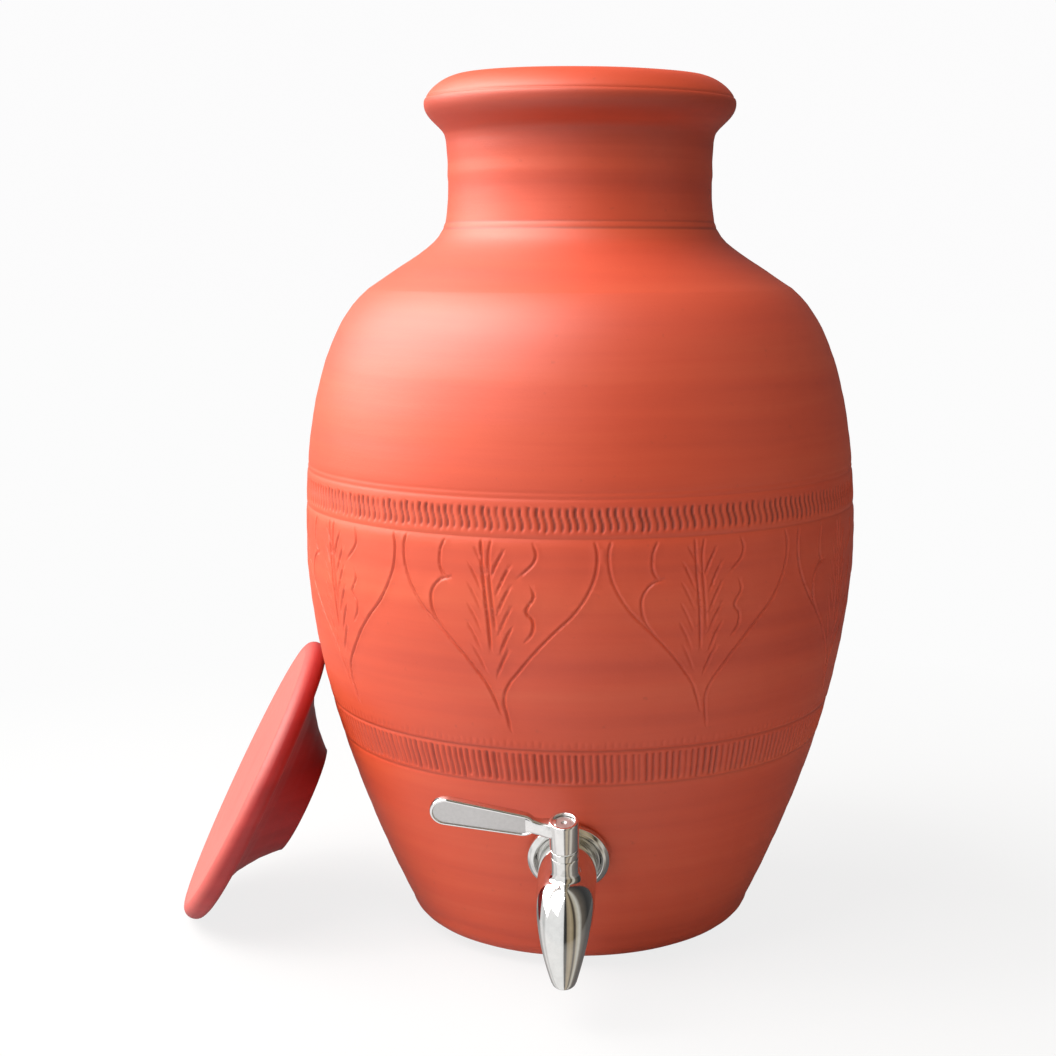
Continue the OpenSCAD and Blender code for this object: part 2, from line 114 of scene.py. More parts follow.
def mesh(node, verts, faces, body, materials, slot, at=None, sharp=None, material_ids=None):
    """A piece from points in millimetres, standing for a CAD node and riding on a body"""
    name = node + "_look"
    v = np.array(verts, float)
    if at is not None:
        v = v @ at[:3, :3].T + at[:3, 3]
    data = bpy.data.meshes.new(name)
    data.from_pydata((v * MM).tolist(), [], [list(map(int, f)) for f in faces])
    data.update()
    for m in materials if isinstance(materials, (list, tuple)) else [materials]:
        data.materials.append(m)
    if material_ids is not None:
        data.polygons.foreach_set("material_index", np.array(material_ids, np.int32))
    data.shade_smooth()
    if sharp:
        data.set_sharp_from_angle(angle=math.radians(sharp))
    obj = bpy.data.objects.new(name, data)
    bpy.context.scene.collection.objects.link(obj)
    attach(obj, body)
    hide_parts(node)
    return obj


def mark(obj, name, values):
    """Keeps one number per point on a mesh, for its material"""
    layer = obj.data.attributes.new(name, "FLOAT", "POINT")
    layer.data.foreach_set("value", np.array(values, np.float32))


def join(parts):
    """One point list and face list from several"""
    verts, faces, start = [], [], 0
    for v, f in parts:
        verts.append(np.array(v, float))
        faces += [[i + start for i in face] for face in f]
        start += len(v)
    return np.concatenate(verts), faces


def moved(part, at):
    v, f = part
    return np.array(v, float) @ at[:3, :3].T + at[:3, 3], f


def circle(r, n, z=0.0):
    """n points round z at height z; r is one number or one per point"""
    a = 2 * math.pi * np.arange(n) / n
    return np.stack([r * np.cos(a), r * np.sin(a), np.full(n, float(z))], -1)


def lathe(profile, n=96, closed=False):
    """Points (radius, height) turned round z; a radius of nought closes to one point"""
    verts, rings = [], []
    for r, z in profile:
        if r < 1e-6:
            rings.append([len(verts)])
            verts.append((0, 0, z))
            continue
        rings.append(list(range(len(verts), len(verts) + n)))
        verts += list(circle(r, n, z))
    faces = []
    pairs = list(zip(rings, rings[1:]))
    if closed:
        pairs.append((rings[-1], rings[0]))
    for a, b in pairs:
        for k in range(n):
            j = (k + 1) % n
            if len(a) == 1 and len(b) == 1:
                continue
            if len(a) == 1:
                faces.append((a[0], b[j], b[k]))
            elif len(b) == 1:
                faces.append((a[k], a[j], b[0]))
            else:
                faces.append((a[k], a[j], b[j], b[k]))
    return verts, faces


def loft(rings, start_cap=False, end_cap=False, closed=False):
    """Skin over equal rings of points; closed joins the last ring to the first"""
    n, m = len(rings[0]), len(rings)
    verts = [p for ring in rings for p in ring]
    faces = []
    for j in range(m if closed else m - 1):
        low, high = j * n, (j + 1) % m * n
        for k in range(n):
            side = (k + 1) % n
            faces.append((low + k, low + side, high + side, high + k))
    if start_cap:
        faces.append(list(range(n))[::-1])
    if end_cap:
        faces.append([(m - 1) * n + k for k in range(n)])
    return verts, faces


# ---------- materials ----------
def shader(name, **values):
    """A material, its node tree and its surface node, whose inputs are set from values"""
    m = bpy.data.materials.new(name)
    m.use_nodes = True
    tree = m.node_tree
    tree.nodes.clear()
    out = tree.nodes.new("ShaderNodeOutputMaterial")
    bsdf = put(tree, "ShaderNodeBsdfPrincipled", **values)
    tree.links.new(bsdf.outputs[0], out.inputs["Surface"])
    return m, tree, bsdf


def put(tree, kind, links=(), **values):
    """A node; values go to its attributes or else its inputs, and links are (input, socket) pairs"""
    node = tree.nodes.new(kind)
    for k, v in values.items():
        if hasattr(node, k):
            setattr(node, k, v)
        else:
            node.inputs[k.replace("_", " ")].default_value = v
    for k, socket in links:
        tree.links.new(socket, node.inputs[k])
    return node


def coords(tree, scale):
    """Object coordinates stretched by scale"""
    place = put(tree, "ShaderNodeTexCoord").outputs["Object"]
    return put(tree, "ShaderNodeMapping", [("Vector", place)], Scale=scale).outputs[0]


def noise(tree, scale, detail=4.0, stretch=(1, 1, 1), rough=0.5):
    n = put(tree, "ShaderNodeTexNoise", [("Vector", coords(tree, stretch))], Scale=scale, Detail=detail,
            Roughness=rough)
    return n.outputs["Fac"]


def ramp(tree, fac, stops):
    """Colour ramp; stops are (place, colour)"""
    node = put(tree, "ShaderNodeValToRGB", [("Fac", fac)])
    e = node.color_ramp.elements
    while len(e) < len(stops):
        e.new(0.5)
    for el, (p, c) in zip(e, stops):
        el.position = p
        el.color = (*c, 1) if len(c) == 3 else c
    return node.outputs["Color"]


def ranged(tree, fac, low, high, from_low=0.0, from_high=1.0):
    return put(tree, "ShaderNodeMapRange", [("Value", fac)], From_Min=from_low, From_Max=from_high,
               To_Min=low, To_Max=high).outputs["Result"]


def mix(tree, fac, a, b):
    """Mix two colours; fac, a and b are sockets or constants"""
    node = tree.nodes.new("ShaderNodeMix")
    node.data_type = "RGBA"
    for index, value in ((0, fac), (6, a), (7, b)):
        if isinstance(value, (int, float)):
            node.inputs[index].default_value = value
        elif isinstance(value, tuple):
            node.inputs[index].default_value = (*value, 1)
        else:
            tree.links.new(value, node.inputs[index])
    return node.outputs[2]


def add(tree, a, b, op="ADD"):
    node = put(tree, "ShaderNodeMath", operation=op)
    for i, value in enumerate((a, b)):
        if isinstance(value, (int, float)):
            node.inputs[i].default_value = value
        else:
            tree.links.new(value, node.inputs[i])
    return node.outputs[0]


def bump(tree, height, strength, distance, under=None):
    node = put(tree, "ShaderNodeBump", [("Height", height)], Strength=strength, Distance=distance)
    if under is not None:
        tree.links.new(under, node.inputs["Normal"])
    return node.outputs["Normal"]


def between(tree, fac, rise, fall, most=1.0):
    """Nought outside and most inside; rise and fall are the (from, to) over which fac goes in and out"""
    return add(tree, ranged(tree, fac, 0.0, most, *rise), ranged(tree, fac, 1.0, 0.0, *fall), "MULTIPLY")


# heights, in metres, where the neck's painted shade under the lip and the shoulder's pale dust with painted
# sheen begin and end
NECK_SHADE = (0.335, 0.372), (0.387, 0.3905)
SHOULDER_DUST_AND_SHEEN = (0.235, 0.29), (0.318, 0.332)
# pale colour of dust on the shoulder, which also stands in for painted sheen there and on the lid's face
DUST_AND_SHEEN = (0.56, 0.115, 0.092)


def shade(colour, by):
    return tuple(by * c for c in colour)


def clay(name, base, light, dark, sheen):
    """Fired clay: turning streaks, mottling, grit, painted shade in the cuts and under the lip, pale dust
    with painted sheen, and a dry, faintly sheened skin
    """
    m, t, b = shader(name, IOR=1.5, Specular_IOR_Level=sheen)
    streak = noise(t, 4.0, 4.0, (1, 1, 22), 0.5)
    fine = noise(t, 24.0, 4.0, (1, 1, 20), 0.6)
    cloud = noise(t, 7.0, 4.0, (1, 1, 1.3), 0.55)
    grit = noise(t, 900.0, 3.0)
    speck = noise(t, 260.0, 2.0)
    colour = ramp(t, streak, [(0.25, dark), (0.5, base), (0.78, light)])
    colour = mix(t, ranged(t, cloud, 0.0, 0.4, 0.42, 0.74), colour, light)
    colour = mix(t, ranged(t, fine, 0.0, 0.12, 0.45, 0.75), colour, dark)
    colour = mix(t, ranged(t, speck, 0.0, 0.3, 0.70, 0.80), colour, shade(dark, 0.6))
    colour = mix(t, ranged(t, grit, 0.0, 0.10, 0.5, 0.75), colour, light)
    height = put(t, "ShaderNodeSeparateXYZ", [("Vector", coords(t, (1, 1, 1)))]).outputs["Z"]
    # painted shade under the lip: the neck darkens, more where the turning streaks run dark
    streaky_neck_shade = add(t, between(t, height, *NECK_SHADE), ranged(t, streak, 0.85, 0.4, 0.35, 0.65), "MULTIPLY")
    colour = mix(t, streaky_neck_shade, colour, shade(dark, 0.68))
    # pale dust and painted sheen: the lid's pale points and the shoulder band mix towards the pale colour
    pale = put(t, "ShaderNodeAttribute", attribute_name="pale").outputs["Fac"]
    colour = mix(t, add(t, pale, between(t, height, *SHOULDER_DUST_AND_SHEEN, 0.12)), colour, DUST_AND_SHEEN)
    # painted shade in the cuts: comb notches, turned grooves and leaf lines darken with their depth
    cut = put(t, "ShaderNodeAttribute", attribute_name="cut").outputs["Fac"]
    colour = mix(t, ranged(t, cut, 0.0, 0.72, 0.12, 0.75), colour, shade(dark, 0.30))
    t.links.new(colour, b.inputs["Base Color"])
    t.links.new(add(t, ranged(t, cloud, 0.50, 0.58), ranged(t, fine, -0.03, 0.03)), b.inputs["Roughness"])
    low = bump(t, streak, 0.03, 0.002)
    low = bump(t, fine, 0.05, 0.0008, low)
    grain = add(t, grit, add(t, speck, 0.6, "MULTIPLY"))
    t.links.new(bump(t, grain, 0.12, 0.0003, low), b.inputs["Normal"])
    return m


def steel(name, base, rough_low, rough_high, grain_scale=300.0, grain=(1, 1, 1), wave=0.0):
    """Bare steel with a grain, smears and small scratches"""
    m, t, b = shader(name, Metallic=1.0)
    lines = noise(t, grain_scale, 5.0, grain, 0.6)
    smear = noise(t, 45.0, 3.0)
    scratch = noise(t, 1500.0, 2.0, grain)
    t.links.new(mix(t, ranged(t, lines, 0.0, 0.35, 0.4, 0.7), base, shade(base, 0.8)), b.inputs["Base Color"])
    rough = add(t, ranged(t, smear, rough_low, rough_high, 0.35, 0.7),
                ranged(t, scratch, 0.0, 0.25 * rough_low, 0.5, 0.8))
    t.links.new(rough, b.inputs["Roughness"])
    low = bump(t, noise(t, 60.0, 1.0), wave, 0.0006)
    t.links.new(bump(t, lines, 0.35 * rough_low - 0.02, 0.0002, low), b.inputs["Normal"])
    return m


def polymer(name, base, rough):
    """Rubber or sealing plastic with a mottled, dusty skin"""
    m, t, b = shader(name)
    cloud = noise(t, 160.0, 4.0)
    grit = noise(t, 1800.0, 2.0)
    dusty = tuple(min(1.0, 1.5 * c + 0.02) for c in base)
    t.links.new(mix(t, ranged(t, cloud, 0.0, 0.5, 0.35, 0.7), base, dusty), b.inputs["Base Color"])
    t.links.new(ranged(t, grit, rough - 0.08, rough + 0.1), b.inputs["Roughness"])
    t.links.new(bump(t, grit, 0.2, 0.0002), b.inputs["Normal"])
    return m


CLAY = clay("terracotta_skin", (0.57, 0.051, 0.008), (0.61, 0.072, 0.016), (0.50, 0.038, 0.005), 0.85)
# the lid's clay, darker and more crimson than the pot's: partly its own colour, partly painted shade for its
# shaded underside
LID_CLAY = clay("lid_clay", (0.32, 0.007, 0.007), (0.38, 0.014, 0.013), (0.25, 0.004, 0.005), 0.6)
POLISHED = steel("mirror_steel", (0.80, 0.80, 0.785), 0.07, 0.09, wave=0.03)
CAST = steel("satin_steel", (0.60, 0.585, 0.58), 0.30, 0.42, 700.0)
BRIGHT = steel("bright_steel", (0.86, 0.85, 0.84), 0.10, 0.18, wave=0.05)
TURNED = steel("turned_steel", (0.66, 0.66, 0.65), 0.22, 0.34, 120.0, (1, 1, 30))
RUBBER = polymer("black_rubber", (0.028, 0.028, 0.030), 0.62)
PTFE = polymer("white_sealing_plastic", (0.80, 0.80, 0.78), 0.42)


# ---------- the pot ----------
BELLY_R, BELLY_Z, FOOT_R, FOOT_H, BASE_R = 129.75, 187.0, 82.5, 13.0, 62.0
SHOULDER_R, SHOULDER_Z, NECK_R, NECK_Z, RIM_R, POT_H = 95.5, 306.0, 61.5, 353.0, 72.2, 400.0
WALL, FLOOR_T = 8.5, 10.0
MOUTH_R = NECK_R - WALL
CREST_R = MOUTH_R + 4.5
LOWER = [[FOOT_R, FOOT_H], [FOOT_R + 4, FOOT_H + 9], [BELLY_R, BELLY_Z - 78], [BELLY_R, BELLY_Z]]
UPPER = [[BELLY_R, BELLY_Z], [BELLY_R, BELLY_Z + 104], [SHOULDER_R + 2.4, SHOULDER_Z - 1.75],
         [SHOULDER_R, SHOULDER_Z]]
SHOULDER = [[SHOULDER_R, SHOULDER_Z], [SHOULDER_R - 28.3, SHOULDER_Z + 20.6], [NECK_R, NECK_Z - 31.4],
            [NECK_R, NECK_Z]]
OUTER = np.concatenate([
    [[BASE_R + (FOOT_R - BASE_R) * math.sin(a), FOOT_H * (1 - math.cos(a))]
     for a in np.linspace(0, math.pi / 2, 14)[:-1]],
    bez(LOWER, 90), bez(UPPER, 90), bez(SHOULDER, 60, True)])


def wall_r(z):
    return np.interp(z, OUTER[:, 1], OUTER[:, 0])


TAP_Z = 62.0
SLOPE = (wall_r(TAP_Z + 15) - wall_r(TAP_Z - 15)) / 30
TILT = math.atan(SLOPE)
TAP_O = np.array([0, -wall_r(TAP_Z), TAP_Z])
X = np.array([1.0, 0, 0])
U = np.array([0, -math.sin(TILT), math.cos(TILT)])
T = np.array([0, -math.cos(TILT), -math.sin(TILT)])
AT_TAP = placed((X, U, T), TAP_O)
STEM_T = 25.5
AT_STEM = placed((X, -T, U), TAP_O + STEM_T * T)

NOTCHES = 246
FINE = NOTCHES * 6
FIRST_TURN = math.radians(6.9)
# turned grooves as (height, depth, half width), and the two comb bands
GROOVES = [(223.7, 0.18, 0.75), (221.3, 0.26, 0.85), (205.0, 0.36, 0.95), (112.6, 0.55, 0.95),
           (96.2, 0.5, 0.9), (331.0, 0.22, 0.9), (334.0, 0.16, 0.8)]
UPPER_COMB, LOWER_COMB = (208.2, 217.4), (98.0, 110.9)
TICKS = (114.2, 116.4)


def window(z, low, high, soft):
    """1 between low and high, falling off over soft outside"""
    return np.clip((z - low) / soft + 0.5, 0, 1) * np.clip((high - z) / soft + 0.5, 0, 1)


def groove_depth(z):
    depth = np.zeros_like(z)
    for at, deep, half in GROOVES:
        s = (z - at) / half
        depth = np.maximum(depth, deep * np.exp(-(s**2) * 1.6))
    return depth


def wobble(a, z):
    """The slow unevenness of a hand-turned wall"""
    return (0.10 * np.sin(a * 2 + z / 31) + 0.07 * np.sin(3 * a + 1.3 + z / 17)
            + 0.06 * np.sin(z / 2.9 + 0.6 * np.sin(a)) + 0.05 * np.sin(z / 1.37 + 2 + 0.8 * np.sin(a + 1)))


NOTCH_JITTER = RNG.normal(0, 0.055, NOTCHES)
NOTCH_DEEP = 1 + RNG.normal(0, 0.14, NOTCHES)
UPPER_LENGTH, LOWER_LENGTH = RNG.normal(0, 0.3, NOTCHES), RNG.normal(0, 0.45, NOTCHES)


def notch(turn, width, jitter=1):
    """The number of the notch at each place, and how near its middle the place is, 0 to 1"""
    k = np.floor(turn).astype(int) % NOTCHES
    f = (turn + jitter * NOTCH_JITTER[k]) % 1.0
    return k, np.clip(1 - np.abs(f - 0.5) / width, 0, 1)


def comb(a, z):
    """Depth of the comb's notches at angle a and height z"""
    out = np.zeros_like(z)
    turn = a / (2 * math.pi) * NOTCHES
    near = (z > UPPER_COMB[0] - 2) & (z < UPPER_COMB[1] + 2)
    if near.any():
        s = (z[near] - 212.8) / 4.6
        k, cut = notch(turn[near] + 0.16 * np.sin(s * 3.0) + 0.10 * s, 0.30)
        ends = window(z[near], UPPER_COMB[0] + UPPER_LENGTH[k], UPPER_COMB[1] + UPPER_LENGTH[k], 1.1)
        out[near] = 0.80 * NOTCH_DEEP[k] * ends * np.sin(cut * math.pi / 2) ** 1.3
    near = (z > LOWER_COMB[0] - 2) & (z < LOWER_COMB[1] + 2)
    if near.any():
        s = (z[near] - 104.5) / 6.5
        k, cut = notch(turn[near] + 0.10 * np.sin(s * 1.5) + 0.05 * s * np.sin(a[near] * 5), 0.32)
        ends = window(z[near], LOWER_COMB[0] + LOWER_LENGTH[k], LOWER_COMB[1], 1.0)
        out[near] = 0.78 * NOTCH_DEEP[(k + 90) % NOTCHES] * ends * np.sin(cut * math.pi / 2) ** 1.2
    near = (z > TICKS[0] - 0.6) & (z < TICKS[1] + 1.0)
    if near.any():
        k, cut = notch(turn[near], 0.3, 0)
        ends = window(z[near], TICKS[0], TICKS[1] + UPPER_LENGTH[k] * 1.6, 1.0)
        out[near] = 0.30 * NOTCH_DEEP[k] * ends * cut
    return out


# One leaf, traced as (degrees from its middle, height): heart outline, scrolls, stalk and its strokes
LEAF = [
    ([(18.4, 205.0), (19.0, 199), (18.7, 191), (17.4, 183), (14.7, 173.8), (11.0, 165.6), (7.1, 156.3),
      (4.1, 148.1), (2.0, 142.1), (1.0, 135.7), (1.4, 128.5), (2.0, 121.5)], 1.0),
    ([(-18.4, 205.0), (-19.0, 199), (-18.7, 191), (-17.4, 183), (-14.7, 173.8), (-11.0, 165.6), (-7.1, 156.3),
      (-4.1, 148.1), (-2.2, 142.1), (-0.9, 135.7), (0.2, 129)], 0.85),
    ([(7.3, 202.6), (7.9, 198.5), (7.2, 194.4), (4.7, 189.0)], 0.9),
    ([(7.1, 184.2), (7.4, 180.6), (5.9, 174.8), (7.2, 170.6), (7.0, 165.6), (5.6, 161.4)], 0.9),
    ([(-9.9, 203.4), (-10.8, 198.3), (-10.8, 191.5), (-9.4, 186.3)], 0.9),
    ([(-8.6, 187.6), (-10.9, 186), (-12.6, 181.5), (-12.9, 176), (-12.0, 169.5), (-10.0, 163.5)], 0.9),
    ([(-2.6, 206.0), (-2.2, 190), (-1.4, 172), (-1.0, 157.5)], 1.1),
    ([(-0.6, 205.4), (-1.1, 196), (-0.6, 182), (0.1, 166)], 0.8),
]
for high, turn in ((199.3, 1.7), (192.8, 2.8), (184.3, 2.9), (175.4, 3.0), (167.4, 3.2), (157.5, 2.4)):
    LEAF.append(([(turn, high), (turn - 1.2, high - 4.9), (turn - 2.4, high - 11.4)], 0.95))
    LEAF.append(([(-turn - 2.2, high + 1.5), (-turn - 0.9, high - 4), (-turn + 0.3, high - 10)], 0.6))


def smooth_line(points, step):
    """Evenly spaced points along a smooth line through points, in millimetres on the unrolled wall"""
    p = np.array(points, float)
    t = np.concatenate([[0], np.cumsum(np.linalg.norm(np.diff(p, axis=0), axis=1))])
    ext = np.concatenate([[2 * p[0] - p[1]], p, [2 * p[-1] - p[-2]]])
    out = []
    for i in range(len(p) - 1):
        a, b, c, d = ext[i : i + 4]
        for s in np.linspace(0, 1, max(2, int((t[i + 1] - t[i]) / 0.4)), endpoint=False):
            out.append(0.5 * (2 * b + (c - a) * s + (2 * a - 5 * b + 4 * c - d) * s * s
                              + (3 * b - a - 3 * c + d) * s**3))
    out.append(p[-1])
    out = np.array(out)
    run = np.concatenate([[0], np.cumsum(np.linalg.norm(np.diff(out, axis=0), axis=1))])
    n = max(2, int(round(run[-1] / step)))
    want = np.linspace(0, run[-1], n + 1)
    return np.stack([np.interp(want, run, out[:, 0]), np.interp(want, run, out[:, 1])], -1)


MID_R = 125.0
ARC = math.radians(1) * MID_R
LEAVES = 9
SECTOR = 360 / LEAVES
HALF = SECTOR / 2 * ARC
LEAF_MID = 165
LEAF_LOW, LEAF_HIGH = 117.8, 204.2


def leaf_lines(number):
    """Centre lines of one leaf with its hand-made differences, as (points, depth)"""
    shift, turn, grow = RNG.normal(0, 0.5), RNG.normal(0, 0.8), 1 + RNG.normal(0, 0.012)
    if number in (0, 1):
        shift, turn, grow = 0.0, 0.0, 1.0
    c, s = math.cos(math.radians(turn)), math.sin(math.radians(turn))
    lines = []
    for points, deep in LEAF:
        p = np.array(points, float)
        x, z = p[:, 0] * ARC * grow, p[:, 1] - LEAF_MID
        z = np.where(z > 38, z, z * grow)
        q = np.stack([x * c - z * s + shift, x * s + z * c + LEAF_MID], -1)
        q[:, 1] = np.minimum(q[:, 1], LEAF_HIGH)
        lines.append((smooth_line(q, 1.5), deep * (1 + RNG.normal(0, 0.06))))
    return lines


OFFSETS = np.array([-1.5, -0.95, -0.6, -0.3, 0.0, 0.3, 0.6, 0.95, 1.5])


def line_profile(d):
    """Depth of an incised line at distance d from its middle, below nought for its raised lip"""
    return 0.62 * np.exp(-((d / 0.52) ** 2)) - 0.20 * np.exp(-(((np.abs(d) - 1.05) / 0.42) ** 2))


def thinned(pts, gap):
    """The points, in their order, without those that lie closer than gap to an earlier one"""
    cell = gap + 0.01
    seen, kept = {}, []
    for i, (x, z) in enumerate(pts):
        cx, cz = int(x // cell), int(z // cell)
        near = [j for a in (-1, 0, 1) for b in (-1, 0, 1) for j in seen.get((cx + a, cz + b), ())]
        if all((pts[j, 0] - x) ** 2 + (pts[j, 1] - z) ** 2 >= gap**2 for j in near):
            seen.setdefault((cx, cz), []).append(i)
            kept.append(i)
    return pts[kept]


def leaf_sector(number, edge_xs, side_zs):
    """Triangulates one sector of the leaf belt; gives points (mm along, z), depth, triangles, border count"""
    lines = leaf_lines(number)
    pts = []
    for line, _ in lines:
        d = np.gradient(line, axis=0)
        d /= np.linalg.norm(d, axis=1)[:, None]
        n = np.stack([-d[:, 1], d[:, 0]], -1)
        pts += [line + n * o for o in OFFSETS]
    gx, gz = np.meshgrid(np.arange(-HALF + 2.5, HALF - 2.4, 2.9),
                         np.arange(LEAF_LOW + 2.2, LEAF_HIGH - 1.5, 2.9))
    pts = np.concatenate([*pts, np.stack([gx.ravel(), gz.ravel()], -1)])
    inside = (np.abs(pts[:, 0]) < HALF - 0.8) & (pts[:, 1] > LEAF_LOW + 0.7) & (pts[:, 1] < LEAF_HIGH - 0.5)
    pts = thinned(pts[inside], 0.26)
    border = np.array([(x, LEAF_LOW) for x in edge_xs] + [(HALF, z) for z in side_zs]
                      + [(x, LEAF_HIGH) for x in edge_xs[::-1]] + [(-HALF, z) for z in side_zs[::-1]])
    nb = len(border)
    got = delaunay_2d_cdt([Vector(p) for p in np.concatenate([border, pts])],
                          [(i, (i + 1) % nb) for i in range(nb)], [], 1, 1e-4)
    tris = [tuple(t) for t in got[2]]
    out = np.array([tuple(p) for p in got[0]])
    depth = np.zeros(len(out))
    lip = np.zeros(len(out))
    for line, deep in lines:
        d = np.full(len(out), 1e9)
        t_at = np.zeros(len(out))
        run = np.linspace(0, 1, len(line))
        for i in range(len(line) - 1):
            a, b = line[i], line[i + 1]
            ab = b - a
            s = np.clip(((out - a) @ ab) / (ab @ ab), 0, 1)
            q = np.linalg.norm(out - (a + s[:, None] * ab), axis=1)
            closer = q < d
            d = np.where(closer, q, d)
            t_at = np.where(closer, run[i] + s * (run[1] - run[0]), t_at)
        value = line_profile(d) * deep
        value *= np.clip(t_at * len(line) / 2.5 + 0.35, 0, 1)
        value *= np.clip((1 - t_at) * len(line) / 3.5 + 0.25, 0, 1)
        depth = np.maximum(depth, value)
        lip = np.minimum(lip, value)
    fade = np.clip((out[:, 1] - LEAF_LOW) / 2, 0, 1) * np.clip((LEAF_HIGH - out[:, 1]) / 1.2, 0, 1)
    return out, np.where(depth > 0.03, depth, lip) * fade, tris, nb


def on_wall(a, z, sunk=0.0):
    """Row points at angle a (from -Y towards +X) and height z, sunk into the wall"""
    r0 = wall_r(z)
    slope = (wall_r(z + 0.5) - wall_r(z - 0.5))
    norm = np.sqrt(1 + slope**2)
    r = r0 - sunk / norm
    zz = z + sunk * slope / norm
    return np.stack([r * np.sin(a), -r * np.cos(a), zz], -1)


SKIN, WORN_FOOT = 0.32, 1.5


def sunk_at(a, z):
    """How far the finished skin lies inside the CAD wall"""
    worn_foot = WORN_FOOT * np.clip(1 - z / 17, 0, 1) ** 1.2
    return SKIN + worn_foot + wobble(a, z) * window(z, 5, 345, 8) + groove_depth(z) + comb(a, z)


class Skin:
    """Collects points and faces of the pot's wall"""

    def __init__(self):
        self.v, self.f, self.cut = [], [], []
        self.n = 0

    def add(self, points, cut=0.0):
        self.v.append(np.array(points, float))
        self.cut.append(np.broadcast_to(cut, len(points)))
        first = self.n
        self.n += len(points)
        return np.arange(first, self.n)

    def band(self, low, high):
        """Faces between two rings; one may have a whole number of times the other's points"""
        n, m = len(low), len(high)
        if n == m:
            for k in range(n):
                j = (k + 1) % n
                self.f.append((low[k], low[j], high[j], high[k]))
        elif n < m:
            q = m // n
            for k in range(n):
                top = [high[(k * q + i) % m] for i in range(q, -1, -1)]
                self.f.append([low[k], low[(k + 1) % n], *top])
        else:
            q = n // m
            for k in range(m):
                bottom = [low[(k * q + i) % n] for i in range(q + 1)]
                self.f.append([*bottom, high[(k + 1) % m], high[k]])


def ring_angles(n):
    return 2 * math.pi * np.arange(n) / n + FIRST_TURN


def turned_round(r, z, n):
    """Row points of a ring that starts at the leaf belt's first border"""
    a = ring_angles(n)
    return np.stack([r * np.sin(a), -r * np.cos(a), np.broadcast_to(z, n)], -1)


def build_wall(skin):
    """Underside, foot, belly with its combs and leaves, and shoulder; gives the last ring"""
    def ring(z, n):
        a = ring_angles(n)
        zz = np.full(n, z)
        # how much painted shade each point gets, from the depth of the comb's notches and of the grooves,
        # most in the neck's grooves
        dark = np.maximum(comb(a, zz) * np.interp(zz, (120, 200), (0.62, 1.0)),
                          np.where(zz > 320, 2.6, 0.7) * groove_depth(zz))
        return skin.add(on_wall(a, zz, sunk_at(a, zz)), dark)

    def rings(low, heights, n):
        for z in heights:
            high = ring(z, n)
            skin.band(low, high)
            low = high
        return low

    last = None
    for r in (0.6, 20, 40, 56, 60.5):
        lift = 0.9 * (1 - (r / 60) ** 4) if r < 60 else 0.0
        new = skin.add(turned_round(r, lift, NOTCHES))
        if last is None:
            skin.f.append(list(new[::-1]))
        else:
            skin.band(last, new)
        last = new
    last = rings(last, [0.35, 1.2, 2.6, 4.4, 6.5, 9, 11.5, 13.5, 15.5, 18, 21, *np.arange(24, 93, 3.1),
                        93.4, 94.6, 95.4, 96.0, 96.6], NOTCHES)
    low_ring = rings(last, [97.3, 98.0, 98.7, 100.2, 102.2, 104.4, 106.6, 108.6, 110.2, 110.9, 111.5, 112.1,
                            112.6, 113.1, 113.7, 114.3, 115.2, 116.3, 117.1, LEAF_LOW], FINE)
    top_ring = build_leaves(skin, low_ring)
    last = rings(top_ring, [204.7, 205.2, 205.8, 206.6, 207.5, 208.3, 209.4, 211.0, 212.8, 214.6, 216.2,
                            217.3, 218.1], FINE)
    return rings(last, [219.2, 220.1, 220.7, 221.3, 221.9, 222.5, 223.2, 223.7, 224.3, 225.2,
                        *np.arange(228, 304, 3.6), *np.arange(304, 329, 2.6), 329.2, 330.0, 330.5, 331.0,
                        331.5, 332.2, 333.0, 333.6, 334.0, 334.6, 335.6, 338, 341, 344.5, 348, NECK_Z - 1],
                 NOTCHES)


def build_leaves(skin, low_ring):
    """The leaf belt: sectors triangulated between shared borders; gives its top ring"""
    a = ring_angles(FINE)
    top_z = np.full(FINE, LEAF_HIGH)
    top_ring = skin.add(on_wall(a, top_z, sunk_at(a, top_z)))
    per = FINE // LEAVES
    edge_xs = np.linspace(-HALF, HALF, per + 1)
    side_zs = np.linspace(LEAF_LOW, LEAF_HIGH, 31)[1:-1]
    sides = []
    for s in range(LEAVES):
        ang = np.full(len(side_zs), FIRST_TURN + s * math.radians(SECTOR))
        sides.append(skin.add(on_wall(ang, side_zs, sunk_at(ang, side_zs))))
    # the two sectors that face the camera get the leaves as traced
    order = {0: 1, LEAVES - 1: 0}
    for s in range(LEAVES):
        pts, depth, tris, nb = leaf_sector(order.get(s, s + 2), edge_xs, side_zs)
        ang = (FIRST_TURN + (s + 0.5) * math.radians(SECTOR) + pts[:, 0] / MID_R)[nb:]
        z, deep = pts[nb:, 1], depth[nb:]
        # half of each leaf line's depth becomes painted shade in the line
        inner = skin.add(on_wall(ang, z, sunk_at(ang, z) + deep), np.clip(0.5 * deep, 0, 1))
        along = (s * per + np.arange(per + 1)) % FINE
        ids = np.concatenate([low_ring[along], sides[(s + 1) % LEAVES], top_ring[along[::-1]], sides[s][::-1],
                              inner])
        skin.f += [[ids[t[0]], ids[t[1]], ids[t[2]]] for t in tris]
    return top_ring


